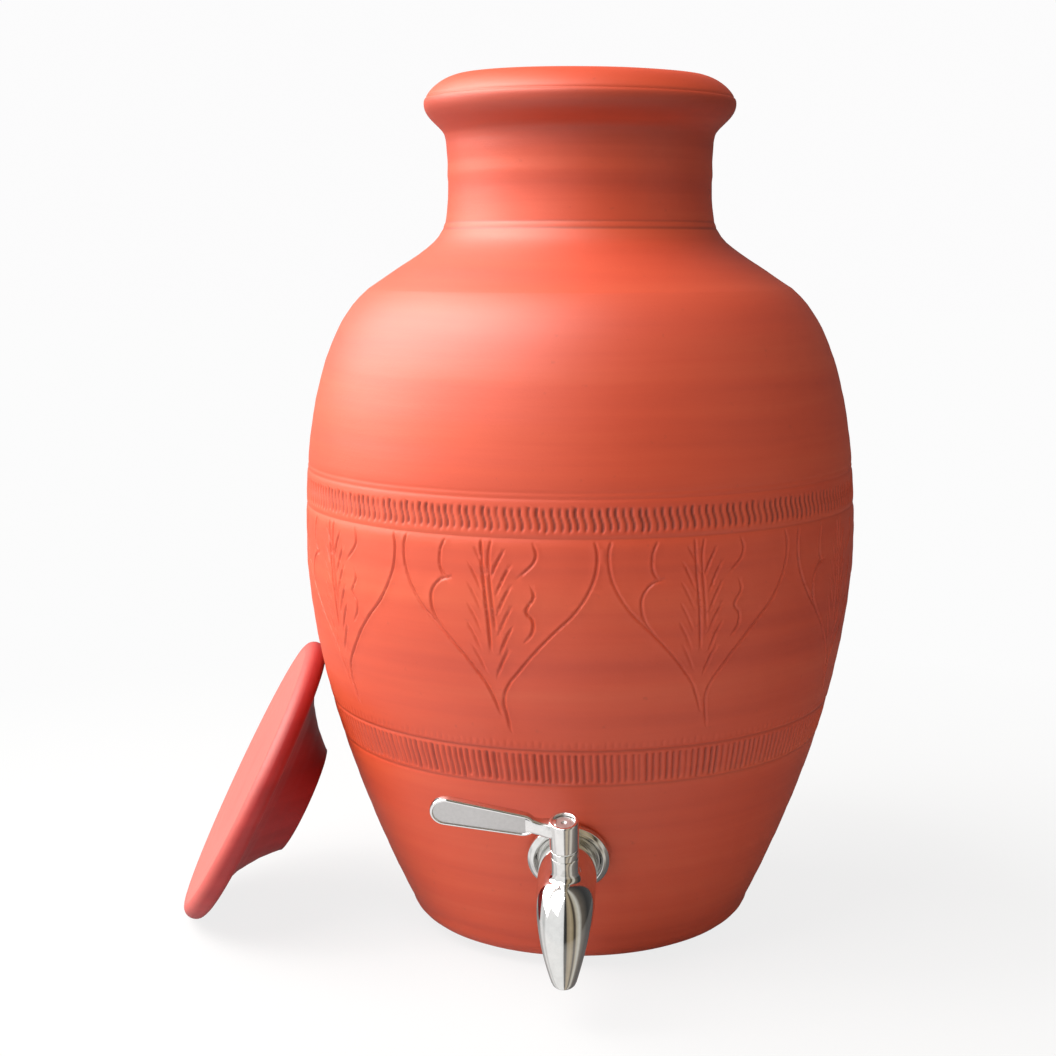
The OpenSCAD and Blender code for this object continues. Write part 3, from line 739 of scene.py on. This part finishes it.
def build_pot():
    """The whole pot, from its underside over the lip to the floor inside"""
    skin = Skin()
    last = build_wall(skin)
    foot_r, foot_z = NECK_R + 1, POT_H - 27.5
    crease_r, crease_z = RIM_R - 0.9, POT_H - 10.2
    flare = bez([[NECK_R, NECK_Z], [NECK_R, NECK_Z + 9], [NECK_R - 0.1, foot_z - 3.5], [foot_r, foot_z]], 12)
    under = bez([[foot_r, foot_z], [foot_r + 0.5, foot_z + 5], [RIM_R, POT_H - 19], [RIM_R, POT_H - 13]], 14)
    roll = bez([[RIM_R, POT_H - 13], [RIM_R, POT_H - 11.4], [crease_r + 0.5, crease_z - 0.3],
                [crease_r, crease_z]], 6)
    crease = [[crease_r - 0.25, crease_z + 0.1], [crease_r - 0.45, crease_z + 0.5]]
    top = bez([[crease_r, crease_z], [crease_r - 1.8, crease_z + 4.1], [CREST_R + 7.5, POT_H - 1.7],
               [CREST_R, POT_H]], 14)[1:]
    outer = np.concatenate([flare[1:], under, roll, crease, top])
    mouth = [[MOUTH_R + 4.5 * math.cos(q), POT_H - 6 + 6 * math.sin(q)]
             for q in np.linspace(math.pi / 2, math.pi, 7)]
    mouth += [[MOUTH_R, z] for z in np.arange(388, 356, -6.0)]
    wall = np.concatenate([inset(SHOULDER, 24)[::-1], inset(UPPER, 26)[::-1], inset(LOWER, 26)[::-1]])
    foot = wall[-1]
    floor = [[foot[0] - 13 + 13 * math.cos(q), foot[1] - (foot[1] - FLOOR_T) * math.sin(q)]
             for q in np.linspace(0.2, math.pi / 2, 6)] + [[r, FLOOR_T] for r in (50, 34, 18, 0.8)]
    a = ring_angles(NOTCHES)
    for r, z in outer:
        lift = 0.18 + 0.10 * np.sin(2 * a + 0.6) + 0.10 * math.sin(z / 1.9) + 0.05 * np.sin(3 * a + z / 7)
        new = skin.add(turned_round(r - lift, z - 0.3 - 0.22 * np.sin(a * 2 + 0.4) * (z > 385), NOTCHES))
        skin.band(last, new)
        last = new
    for r, z in np.concatenate([mouth, wall, floor]):
        rib = 0.35 * math.sin(z / 3.1) if FLOOR_T + 1 < z < 385 else 0.0
        new = skin.add(turned_round(r + 0.25 + rib * 0.4, z - (0.3 if z > 385 else 0), NOTCHES))
        skin.band(last, new)
        last = new
    skin.f.append(list(last))
    return np.concatenate(skin.v), skin.f, np.concatenate(skin.cut)


def inset(p, n):
    """Points a wall's thickness inside a curve"""
    p = np.array(p, float)
    s = np.linspace(0, 1, n + 1)[:-1, None]
    d = cubic_way(p, s)
    d /= np.linalg.norm(d, axis=1)[:, None]
    return cubic(p, s) + WALL * np.stack([-d[:, 1], d[:, 0]], -1)


pot_v, pot_f, pot_cut = build_pot()
pot = mesh("pot", pot_v, pot_f, "vessel", CLAY, "terracotta")
# cut: the depth of each cut, which the clay turns into painted shade
mark(pot, "cut", pot_cut)


# ---------- the lid ----------
LID_R, LID_H, LID_EDGE, DISH, PLUG_R = 72.9, 31.9, 10.4, 1.6, 27.3
LEAN, SIDE, AROUND = math.radians(26.8), math.radians(189.8), math.radians(183.1)
heel, tip = (LID_R - 5.5, LID_EDGE + 0.6), (PLUG_R, LID_H - 1.2)
lid_section = np.concatenate([
    bez([[0, DISH], [LID_R * 0.6, DISH], [LID_R - 14, 0.2], [LID_R - 5, 0]], 22),
    bez([[LID_R - 5, 0], [LID_R - 1.8, 0], [LID_R, LID_EDGE * 0.3], [LID_R, LID_EDGE * 0.5]], 8),
    bez([[LID_R, LID_EDGE * 0.5], [LID_R, LID_EDGE * 0.8], [heel[0] + 3.5, LID_EDGE], heel], 8),
    bez([heel, [heel[0] - 13.4, heel[1] - 1.2], [tip[0] + 14.6, tip[1] - 15.6], tip], 30),
    [tip, [PLUG_R - 0.5, LID_H - 0.4], [PLUG_R - 1.5, LID_H], [PLUG_R - 6, LID_H],
     [PLUG_R - 12, LID_H - 0.1], [6, LID_H], [0, LID_H]]])
lid_z = -min(-r * math.cos(LEAN) - d * math.sin(LEAN) for r, d in lid_section)
lid_c = 0.0
for r, d in lid_section:
    for t in np.radians(np.arange(-50, 51, 5)):
        up_face, along = r * math.cos(t), r * math.sin(t)
        inward = up_face * math.sin(LEAN) + d * math.cos(LEAN)
        toward = inward * math.cos(SIDE - AROUND) + along * math.sin(SIDE - AROUND)
        across = along * math.cos(SIDE - AROUND) - inward * math.sin(SIDE - AROUND)
        clear = wall_r(lid_z + up_face * math.cos(LEAN) - d * math.sin(LEAN)) + 0.3 / math.cos(TILT)
        lid_c = max(lid_c, toward + math.sqrt(clear**2 - across**2))
out = np.array([math.cos(SIDE), math.sin(SIDE), 0])
n_face = np.array([0, 0, 1.0]) * math.sin(LEAN) + out * math.cos(LEAN)
x_face = -np.array([0, 0, 1.0]) * math.cos(LEAN) + out * math.sin(LEAN)
AT_LID = placed((x_face, np.cross(n_face, x_face), n_face),
                (lid_c * math.cos(AROUND), lid_c * math.sin(AROUND), lid_z))


def build_lid():
    """The lid, turned from its section, with fine turning marks"""
    verts, faces = lathe([(r, -d) for r, d in lid_section], 200)
    v = np.array(verts, float)
    r = np.hypot(v[:, 0], v[:, 1])
    a = np.arctan2(v[:, 1], v[:, 0])
    ring_mark = 0.10 * np.sin(r / 1.7 + 0.7 * np.sin(a)) + 0.07 * np.sin(r / 0.8 + 2)
    sink = 0.22 + ring_mark * np.clip(r / 8, 0, 1) + 0.12 * np.sin(2 * a + r / 20)
    inward = 1 - 0.28 / LID_R - 0.0012 * np.sin(3 * a + 1)
    v[:, 0] *= inward
    v[:, 1] *= inward
    v[:, 2] += np.where(v[:, 2] > -LID_EDGE * 0.5, -sink, sink)
    return v, [f[::-1] for f in faces]


lid_v, lid_f = build_lid()
lid = mesh("lid", lid_v, lid_f, "lid", LID_CLAY, "terracotta", AT_LID)
# painted sheen: the lid's face, and half as much at its rim, mixes towards the pale colour as grazing light
# makes it look
mark(lid, "pale", np.clip(1.5 + lid_v[:, 2] / 3.2, 0, 1)
     * np.interp(np.hypot(lid_v[:, 0], lid_v[:, 1]), (LID_R - 8, LID_R - 3), (1, 0.5)))


# ---------- what fixes the tap ----------
SEAT = 17.0**2 / (2 * wall_r(TAP_Z) / math.cos(TILT)) + 0.2
FLANGE_Z = 2.0 - SEAT
BODY_Z = FLANGE_Z + 1.6
IN_Z = 0.1 - WALL
NUT_Z = IN_Z - 2.0 - 1.5 - 6.0
SHANK_Z = NUT_Z - 5.0


def turned(node, material, slot, at, corners, radii, n=96, sharp=40):
    """A round piece turned from the corners of its section, each with its radius"""
    v, f = lathe(loop(corners, radii), n, closed=True)
    mesh(node, v, f, "vessel", material, slot, at, sharp)


def loop(points, radii, steps=4):
    """A closed section with rounded corners"""
    pts = [np.array(p, float) for p in points]
    out = []
    n = len(pts)
    for i in range(n):
        piece = rounded([pts[i - 1], pts[i], pts[(i + 1) % n]], [radii[i]], steps)
        out += list(piece[1:-1])
    return out


def shifted(m, along):
    out = m.copy()
    out[:3, 3] += m[:3, 2] * along
    return out


FLANGE_R = 17.8
turned("flange_plate", POLISHED, "polished_steel", shifted(AT_TAP, FLANGE_Z),
       [(8.1, 0), (FLANGE_R, 0), (FLANGE_R, 2.6), (16.4, 3.75), (15.0, 3.75), (14.3, 3.1), (13.4, 1.75),
        (8.1, 1.6)], [0.2, 0.3, 0.8, 0.7, 0.7, 0.8, 1.5, 0.2], 128, 60)
turned("outer_gasket", RUBBER, "rubber", shifted(AT_TAP, -SEAT),
       [(8, 0), (16.5, 0), (16.5, 2), (8, 2)], [0.2, 0.5, 0.5, 0.2])
turned("inner_gasket", RUBBER, "rubber", shifted(AT_TAP, IN_Z - 2),
       [(8, 0), (14.5, 0), (14.5, 2), (8, 2)], [0.2, 0.5, 0.5, 0.2])
turned("backing_washer", TURNED, "plain_steel", shifted(AT_TAP, IN_Z - 3.5),
       [(8.1, 0), (14, 0), (14, 1.5), (8.1, 1.5)], [0.15, 0.3, 0.3, 0.15])
PITCH = 1.5


def thread(z, a):
    """How deep in the thread, 0 at its crest to 1, the place at height z and angle a lies"""
    return abs(2 * ((z / PITCH - a / (2 * math.pi)) % 1.0) - 1)


def uneven(radius, n, z):
    """A ring at height z whose radius depends on the angle"""
    turns = [2 * math.pi * k / n for k in range(n)]
    return [(radius(a) * math.cos(a), radius(a) * math.sin(a), z) for a in turns]


def hex_nut():
    """Hexagon nut with chamfered corners and a threaded bore"""
    n, across, high, rows = 144, 24.0, 6.0, 40
    corner = across / math.sqrt(3)

    def side(cap):
        return lambda a: min(across / 2 / math.cos((a % (math.pi / 3)) - math.pi / 6), cap)

    def bore(z):
        mouth = 0.5 * max(0, 1 - min(z, high - z) / 0.5)
        return lambda a: 8.02 + 0.38 * thread(z, a) + mouth

    rings = [uneven(side(cap), n, z) for z, cap in (
        (0.0, across / 2 - 0.3), (0.15, across / 2), (1.2, corner), (3.0, corner), (4.8, corner),
        (5.85, across / 2), (6.0, across / 2 - 0.3))]
    for j in range(rows + 1):
        z = high * (1 - j / rows)
        rings.append(uneven(bore(z), n, z))
    return loft(rings, closed=True)


def threaded_shank():
    """Tube with a real helical thread on its free length"""
    n, rows = 72, 150
    length = STEM_T - 8.4 - SHANK_Z
    thread_end = IN_Z - SHANK_Z + 6.0

    def outside(z):
        entry = 0.9 * max(0.0, 1 - z / 0.9)
        return lambda a: 8.0 - max(0.75 * thread(z, a) if z < thread_end else 0.0, entry)

    rings = [uneven(outside(length * j / rows), n, length * j / rows) for j in range(rows + 1)]
    rings += [circle(r, n, z) for z, r in (
        (length, 4.4), (length - 0.3, 4.2), (length * 0.5, 4.2), (1.5, 4.2), (0.0, 5.6))]
    return loft(rings, closed=True)


mesh("lock_nut", *hex_nut(), "vessel", TURNED, "plain_steel", shifted(AT_TAP, NUT_Z), 32)
mesh("inlet_shank", *threaded_shank(), "vessel", TURNED, "plain_steel", shifted(AT_TAP, SHANK_Z), 35)


# ---------- the tap's body: barrel, spout and bonnet in one polished casting ----------
BODY_R, OUTLET_R, OUTLET_BORE = 12.65, 5.1, 3.6
SPOUT = [(STEM_T + 2.5, 0), (STEM_T + 15.5, 0), (50, -10), (50, -26)]


def spout_radius(s):
    return OUTLET_R + (BODY_R - 0.05 - OUTLET_R) * (1 - s**1.7)


def spout_point(s):
    """Place and way of the spout's middle line at s, 0 to 1"""
    p = np.array(SPOUT, float)
    d = cubic_way(p, s)
    return cubic(p, s), d / np.linalg.norm(d)


def ring_at(c, d, r, n):
    """Ring round a point (t, u) of the tap's plane, square to d; local x, u, t"""
    return [(x, c[1] + y * d[0], c[0] - y * d[1]) for x, y, _ in circle(r, n)]


def outward(v, f):
    """The mesh with its faces turned out"""
    v = np.array(v, float)
    volume = 0.0
    for q in f:
        for i in range(1, len(q) - 1):
            volume += float(np.dot(v[q[0]], np.cross(v[q[i]], v[q[i + 1]])))
    return v, [q[::-1] for q in f] if volume < 0 else f


def build_body():
    """Barrel and spout as one skin, with the water way and the valve's chamber in it"""
    n = 192
    ahead = np.array([1.0, 0.0])
    rings = [ring_at((t, 0.0), ahead, r, n) for t, r in (
        (BODY_Z, 9.0), (BODY_Z + 0.02, 11.0), (BODY_Z + 0.15, 11.5), (BODY_Z + 0.5, 11.8),
        (BODY_Z + 1.0, 11.88), (BODY_Z + 1.5, 12.1), (BODY_Z + 2.0, 12.45), (BODY_Z + 2.6, 12.6),
        (BODY_Z + 4.0, 12.62), (10, 12.62), (15, 12.62), (20, 12.62), (24, 12.62), (26, 12.61))]
    for s in np.linspace(0.02, 0.965, 92):
        c, d = spout_point(s)
        rings.append(ring_at(c, d, spout_radius(s), n))
    c, d = spout_point(1.0)
    for back, r in ((0.75, OUTLET_R + 0.02), (0.4, OUTLET_R - 0.05), (0.12, OUTLET_R - 0.25),
                    (0.0, OUTLET_R - 0.6), (0.0, OUTLET_BORE + 0.4), (0.15, OUTLET_BORE + 0.1),
                    (0.6, OUTLET_BORE), (8.0, OUTLET_BORE + 0.1)):
        rings.append(ring_at(c - d * back, d, r, n))
    for s in (0.6, 0.4, 0.2, 0.05):
        c, d = spout_point(s)
        rings.append(ring_at(c, d, 3.7 + 0.5 * (1 - s), n))
    rings += [ring_at((t, 0.0), ahead, r, n) for t, r in (
        (STEM_T + 8.4, 4.2), (STEM_T + 8.35, 8.05), (BODY_Z + 0.1, 8.05))]
    return outward(*loft(rings, closed=True))


body_v, body_f = build_body()
body_tree = BVHTree.FromPolygons([Vector(p) for p in body_v], [list(q) for q in body_f])


def height_on_body(x, t):
    """u of the body's top skin at x and t, by a ray from above"""
    hit = body_tree.ray_cast(Vector((x, 60, t)), Vector((0, -1, 0)))
    return hit[0].y if hit[0] is not None else 0.0


def on_body(p, lift):
    """The point of the body's top skin under or over p, moved up by lift"""
    return np.array([p[0], p[1], height_on_body(p[0], STEM_T - p[1]) + lift])


def build_bonnet():
    """The bonnet's neck with a cast fillet where it grows from the barrel"""
    n, r, fillet = 96, 5.9, 2.6
    feet = [(on_body(far, -0.03), on_body(near, 0)) for far, near in zip(circle(r + fillet, n), circle(r, n))]
    up = np.array([0, 0, fillet])
    rings = [[bend(low, corner, corner + up, j / 10) for low, corner in feet] for j in range(11)]
    rings += [circle(rr, n, z) for z, rr in (
        (17.6, r), (19.5, r), (20.9, r), (21.25, r - 0.08), (21.45, r - 0.3), (21.5, r - 0.6),
        (21.5, 4.4), (21.4, 4.32), (14.0, 4.32), (13.9, 3.1), (8.0, 3.1))]
    return loft(rings)


tap = join([moved((body_v, body_f), AT_TAP), moved(build_bonnet(), AT_STEM)])
mesh("tap_body", *tap, "vessel", POLISHED, "polished_steel", sharp=50)


# ---------- the valve ----------
turned("gland_nut", POLISHED, "polished_steel", AT_STEM,
       [(3.05, 17.95), (4.23, 17.95), (4.23, 21.5), (5.9, 21.5), (5.9, 25.1), (3.05, 25.1)],
       [0.1, 0.2, 0.05, 0.35, 0.5, 0.1])
turned("thrust_washer", PTFE, "ptfe", AT_STEM,
       [(3.05, 25.1), (5.5, 25.1), (5.5, 25.8), (3.05, 25.8)], [0.05, 0.2, 0.2, 0.05])


def rubber_rings():
    """The two sealing rings round the stem"""
    mid, thick, first, step = (3.0 + 4.3) / 2, 0.6, 15.7, 1.3
    turns = np.linspace(0, 2 * math.pi, 25)[:-1]
    return join([lathe([(mid + thick * math.cos(q), z + thick * math.sin(q)) for q in turns], 72, closed=True)
                 for z in (first, first + step)])


mesh("stem_o_rings", *rubber_rings(), "vessel", RUBBER, "rubber", AT_STEM)


def keep_cad(node, material):
    """Shows a hidden inner CAD node with softened edges and its own finish"""
    o = NODES[node]
    o.data.materials.clear()
    o.data.materials.append(material)
    o.data.shade_smooth()
    o.data.set_sharp_from_angle(angle=math.radians(30))
    b = o.modifiers.new("edges", "BEVEL")
    b.width = 0.12 * MM
    b.segments = 2
    b.limit_method = "ANGLE"
    b.angle_limit = math.radians(40)
    b.harden_normals = False


keep_cad("inlet_seat", PTFE)
keep_cad("outlet_seat", PTFE)
keep_cad("valve_ball", POLISHED)
keep_cad("valve_stem", TURNED)


# ---------- the lever ----------
HUB_Z, HUB_H, HUB_R = 25.9, 13.7, 6.15
HUB_TOP = HUB_Z + HUB_H
NECK_MID = HUB_TOP - 0.5 - 4.0
RISE = math.radians(11.5)
ROOT_R, END_R = 5.3, 6.6
ROOT_X, LEVER_L = HUB_R + 5.5 + ROOT_R, 55.0
ROOT = np.array([-ROOT_X, NECK_MID + 0.7 * ROOT_X * math.tan(RISE)])
END = np.array([END_R - LEVER_L, ROOT[1] + (LEVER_L - END_R + ROOT[0]) * math.tan(RISE)])


def slot_outline(shrink, n_arc=20, n_side=26):
    """Closed outline (x, z) of the paddle, drawn in by shrink, anticlockwise from the end's top"""
    a, b = END, ROOT
    ra, rb = END_R - shrink, ROOT_R - shrink
    run = np.linalg.norm(b - a)
    lie = math.atan2(b[1] - a[1], b[0] - a[0])
    opened = math.acos((END_R - ROOT_R) / run)
    low_side = b + rb * np.array([math.cos(lie - opened), math.sin(lie - opened)])
    along = np.linspace(0, 1, n_side + 1)[1:-1]
    pts = []
    for q in np.linspace(lie + opened, lie + 2 * math.pi - opened, n_arc + 1):
        pts.append(a + ra * np.array([math.cos(q), math.sin(q)]))
    pts += [pts[n_arc] * (1 - s) + low_side * s for s in along]
    for q in np.linspace(lie - opened, lie + opened, n_arc + 1):
        pts.append(b + rb * np.array([math.cos(q), math.sin(q)]))
    last = pts[-1]
    pts += [last * (1 - s) + pts[0] * s for s in along]
    return np.array(pts)


def build_paddle():
    """Rounded paddle with a sunk, framed panel; local x, y (thickness), z, and the materials' numbers"""
    half, panel_from = 1.8, 16
    rings = [[(x, y, z) for x, z in slot_outline(shrink)] for shrink, y in (
        (5.0, -half + 0.06), (3.0, -half + 0.04), (1.4, -half + 0.02), (0.75, -half + 0.0),
        (0.35, -half + 0.12), (0.1, -half + 0.4), (0.0, -half + 0.85), (0.0, 0.0), (0.0, half - 0.85),
        (0.1, half - 0.4), (0.3, half - 0.14), (0.6, half - 0.02), (0.8, half), (0.98, half - 0.03),
        (1.12, half - 0.16), (1.2, half - 0.4), (1.28, half - 0.54), (1.45, half - 0.6),
        (1.8, half - 0.6), (3.0, half - 0.6), (5.0, half - 0.6))]
    n = len(rings[0])
    sunk = len(rings) - 1 - panel_from
    return *outward(*loft(rings, True, True)), [0] * n * panel_from + [1] * n * sunk + [0, 1]


def build_hub():
    """Boss with a raised bright ring, a recess for the screw and a cut square below"""
    r = HUB_R
    prof = rounded([(3.05, HUB_Z + 2), (3.05, HUB_Z), (r, HUB_Z), (r, HUB_TOP), (4.7, HUB_TOP),
                    (4.7, HUB_TOP - 2.4), (1.6, HUB_TOP - 2.4)], [0.1, 0.45, 0.75, 0.35, 0.15], 6)
    return lathe(prof, 96)


def squared(x):
    """Takes a sine or cosine from a circle to a rounder-cornered square's"""
    return math.copysign(abs(x) ** 0.72, x)


def build_neck():
    """Cast web between boss and paddle: an oval section that thins as it runs out"""
    path = np.array([(-3.2, NECK_MID), (-8.5, NECK_MID + 0.2), (-12.2, ROOT[1] - 0.9), ROOT + (1.2, 0.15)])
    rings = []
    for s in np.linspace(0, 1, 18):
        x, mid = cubic(path, s)
        high = 3.95 * (1 - s) + 4.4 * s - 0.75 * math.sin(math.pi * s)
        wide = min(3.4 * (1 - s) ** 1.4 + 1.72, 3.9)
        rings.append([(x, wide * squared(y), mid + high * squared(z)) for y, z, _ in circle(1, 32)])
    return outward(*loft(rings, True, True))


def build_screw():
    """Round screw head with a small centre mark, over a plain shank"""
    z = HUB_TOP - 2.4
    prof = rounded([(0, z + 0.55), (0.8, z + 0.75), (1.1, z + 1.2), (4.4, z + 1.2), (4.4, z), (1.5, z),
                    (1.5, z - 8), (0, z - 8)], [0.3, 0.25, 0.4, 0.1, 0.1, 0.3], 4)
    return lathe(prof[::-1], 72)


paddle_v, paddle_f, ids = build_paddle()
# the panel faces the viewer (+T), which is local -y of the stem's frame
paddle_v[:, 1] *= -1
hub, neck = build_hub(), build_neck()
lever = join([(paddle_v, [q[::-1] for q in paddle_f]), hub, neck])
ids += [0] * (len(hub[1]) + len(neck[1]))
mesh("lever", *lever, "lever", [BRIGHT, CAST], "cast_steel", AT_STEM, 48, ids)
mesh("lever_screw", *build_screw(), "lever", CAST, "cast_steel", AT_STEM, 40)


# ---------- floor, light and camera ----------
# the studio round the tap as (turn from ahead in degrees, light)
STUDIO = [(-180, 0.30), (-125, 0.30), (-108, 0.86), (-92, 0.60), (-84, 0.95), (-14, 0.95), (0.5, 0.86),
          (3, 0.05), (14, 0.03), (18, (0.30, 0.24, 0.16)), (34, (0.44, 0.36, 0.24)), (44, (0.30, 0.24, 0.15)),
          (48, (0.06, 0.05, 0.04)), (55, (0.10, 0.08, 0.06)), (60, (0.46, 0.41, 0.32)),
          (74, (0.62, 0.60, 0.54)), (86, (0.14, 0.12, 0.10)), (112, 0.04), (160, 0.12), (180, 0.30)]
WHITE, WORLD_WHITE = (0.972, 0.972, 0.972), (0.972, 0.969, 0.972)
AMBIENT, AMBIENT_TINT = 0.37, (1.0, 0.95, 0.91)
# metres from the pot's axis to the tap, which the studio stands round, and where the floor's shadow fades
TAP_AHEAD = 0.14
FADE_FROM, FADE_TO = 0.22, 0.6
PHOTO_SIZE = 1056


def studio(tree, x, y):
    """What polished metal mirrors by direction: pale to the left, a dark gap, a warm dim room to the right"""
    turn = add(tree, x, add(tree, y, -1.0, "MULTIPLY"), "ARCTAN2")
    place = add(tree, add(tree, turn, 1 / (2 * math.pi), "MULTIPLY"), 0.5)
    return ramp(tree, place, [(0.5 + a / 360, c if isinstance(c, tuple) else (c, c, c)) for a, c in STUDIO])


def glow(tree, kind, colour, strength=1.0):
    """A node that gives light; colour is a socket or a constant"""
    node = put(tree, kind, Strength=strength)
    if isinstance(colour, tuple):
        node.inputs["Color"].default_value = (*colour, 1)
    else:
        tree.links.new(colour, node.inputs["Color"])
    return node


def blend(tree, fac, a, b):
    """Shader a, or b where fac is 1"""
    node = put(tree, "ShaderNodeMixShader", [("Fac", fac)])
    tree.links.new(a.outputs[0], node.inputs[1])
    tree.links.new(b.outputs[0], node.inputs[2])
    return node


floor_mat, ft, fb = shader("pale_floor", Roughness=0.9, Specular_IOR_Level=0.1)
f_path = put(ft, "ShaderNodeLightPath").outputs
f_seen = add(ft, add(ft, f_path["Is Camera Ray"], f_path["Is Glossy Ray"], "MAXIMUM"),
             f_path["Is Transmission Ray"], "MAXIMUM")
f_tone = ranged(ft, noise(ft, 3.0, 2.0), 0.0, 1.0)
ft.links.new(mix(ft, f_tone, (0.62, 0.62, 0.615), (0.66, 0.66, 0.655)), fb.inputs["Base Color"])
f_place = put(ft, "ShaderNodeTexCoord").outputs["Object"]
f_far = put(ft, "ShaderNodeVectorMath", [("Vector", f_place)], operation="LENGTH").outputs["Value"]
f_xyz = put(ft, "ShaderNodeSeparateXYZ", [("Vector", f_place)]).outputs
f_mirrored = studio(ft, f_xyz["X"], add(ft, f_xyz["Y"], TAP_AHEAD))
f_white = glow(ft, "ShaderNodeEmission", mix(ft, f_path["Is Glossy Ray"], WHITE, f_mirrored))
f_share = add(ft, f_seen, ranged(ft, f_far, 0.84, 1.0, FADE_FROM, FADE_TO), "MULTIPLY")
f_out = next(n for n in ft.nodes if n.bl_idname == "ShaderNodeOutputMaterial")
ft.links.new(blend(ft, f_share, fb, f_white).outputs[0], f_out.inputs["Surface"])
bpy.ops.mesh.primitive_plane_add(size=16, location=(0, 0, -0.0002))
floor = bpy.context.object
floor.name = "floor"
floor.data.materials.append(floor_mat)
floor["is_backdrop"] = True

world = bpy.data.worlds.new("studio")
bpy.context.scene.world = world
world.use_nodes = True
wt = world.node_tree
wt.nodes.clear()
w_out = wt.nodes.new("ShaderNodeOutputWorld")
w_path = put(wt, "ShaderNodeLightPath").outputs
w_seen = add(wt, w_path["Is Camera Ray"], w_path["Is Transmission Ray"], "MAXIMUM")
w_way = put(wt, "ShaderNodeTexCoord").outputs["Generated"]
w_xyz = put(wt, "ShaderNodeSeparateXYZ", [("Vector", w_way)]).outputs
w_dim = glow(wt, "ShaderNodeBackground", AMBIENT_TINT, AMBIENT)
w_mirrored = glow(wt, "ShaderNodeBackground", studio(wt, w_xyz["X"], w_xyz["Y"]))
w_white = glow(wt, "ShaderNodeBackground", WORLD_WHITE)
w_unseen = blend(wt, w_path["Is Glossy Ray"], w_dim, w_mirrored)
wt.links.new(blend(wt, w_seen, w_unseen, w_white).outputs[0], w_out.inputs["Surface"])


def area(name, where, target, size, power, tint):
    """A square lamp at where that faces target"""
    light = bpy.data.lights.new(name, "AREA")
    light.energy = power
    light.size = size
    light.color = tint
    o = bpy.data.objects.new(name, light)
    bpy.context.scene.collection.objects.link(o)
    o.location = where
    o.rotation_mode = "QUATERNION"
    o.rotation_quaternion = (Vector(target) - Vector(where)).to_track_quat("-Z", "Y")


area("key_light", (-0.80, -0.62, 1.55), (0, 0, 0.22), 1.3, 35, (1.0, 0.98, 0.95))
area("side_light", (-1.25, 0.11, 1.05), (0, 0, 0.24), 1.3, 34, (1.0, 0.99, 0.97))

CAM_D, CAM_H, CAM_AZ, CAM_PITCH = 0.850, 0.3237, math.radians(2.7), math.radians(8.977)
camera = bpy.data.cameras.new("camera")
camera.sensor_width = 36.0
camera.lens = 61.22
camera.shift_x = -52.0 / PHOTO_SIZE
camera.dof.use_dof = False
camera.clip_start = 0.01
camera.clip_end = 50
cam = bpy.data.objects.new("camera", camera)
bpy.context.scene.collection.objects.link(cam)
cam.location = (CAM_D * math.sin(CAM_AZ), -CAM_D * math.cos(CAM_AZ), CAM_H)
cam.rotation_euler = (math.pi / 2 - CAM_PITCH, 0, CAM_AZ)
bpy.context.scene.camera = cam
bpy.context.scene.view_settings.view_transform = "Standard"

low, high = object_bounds()
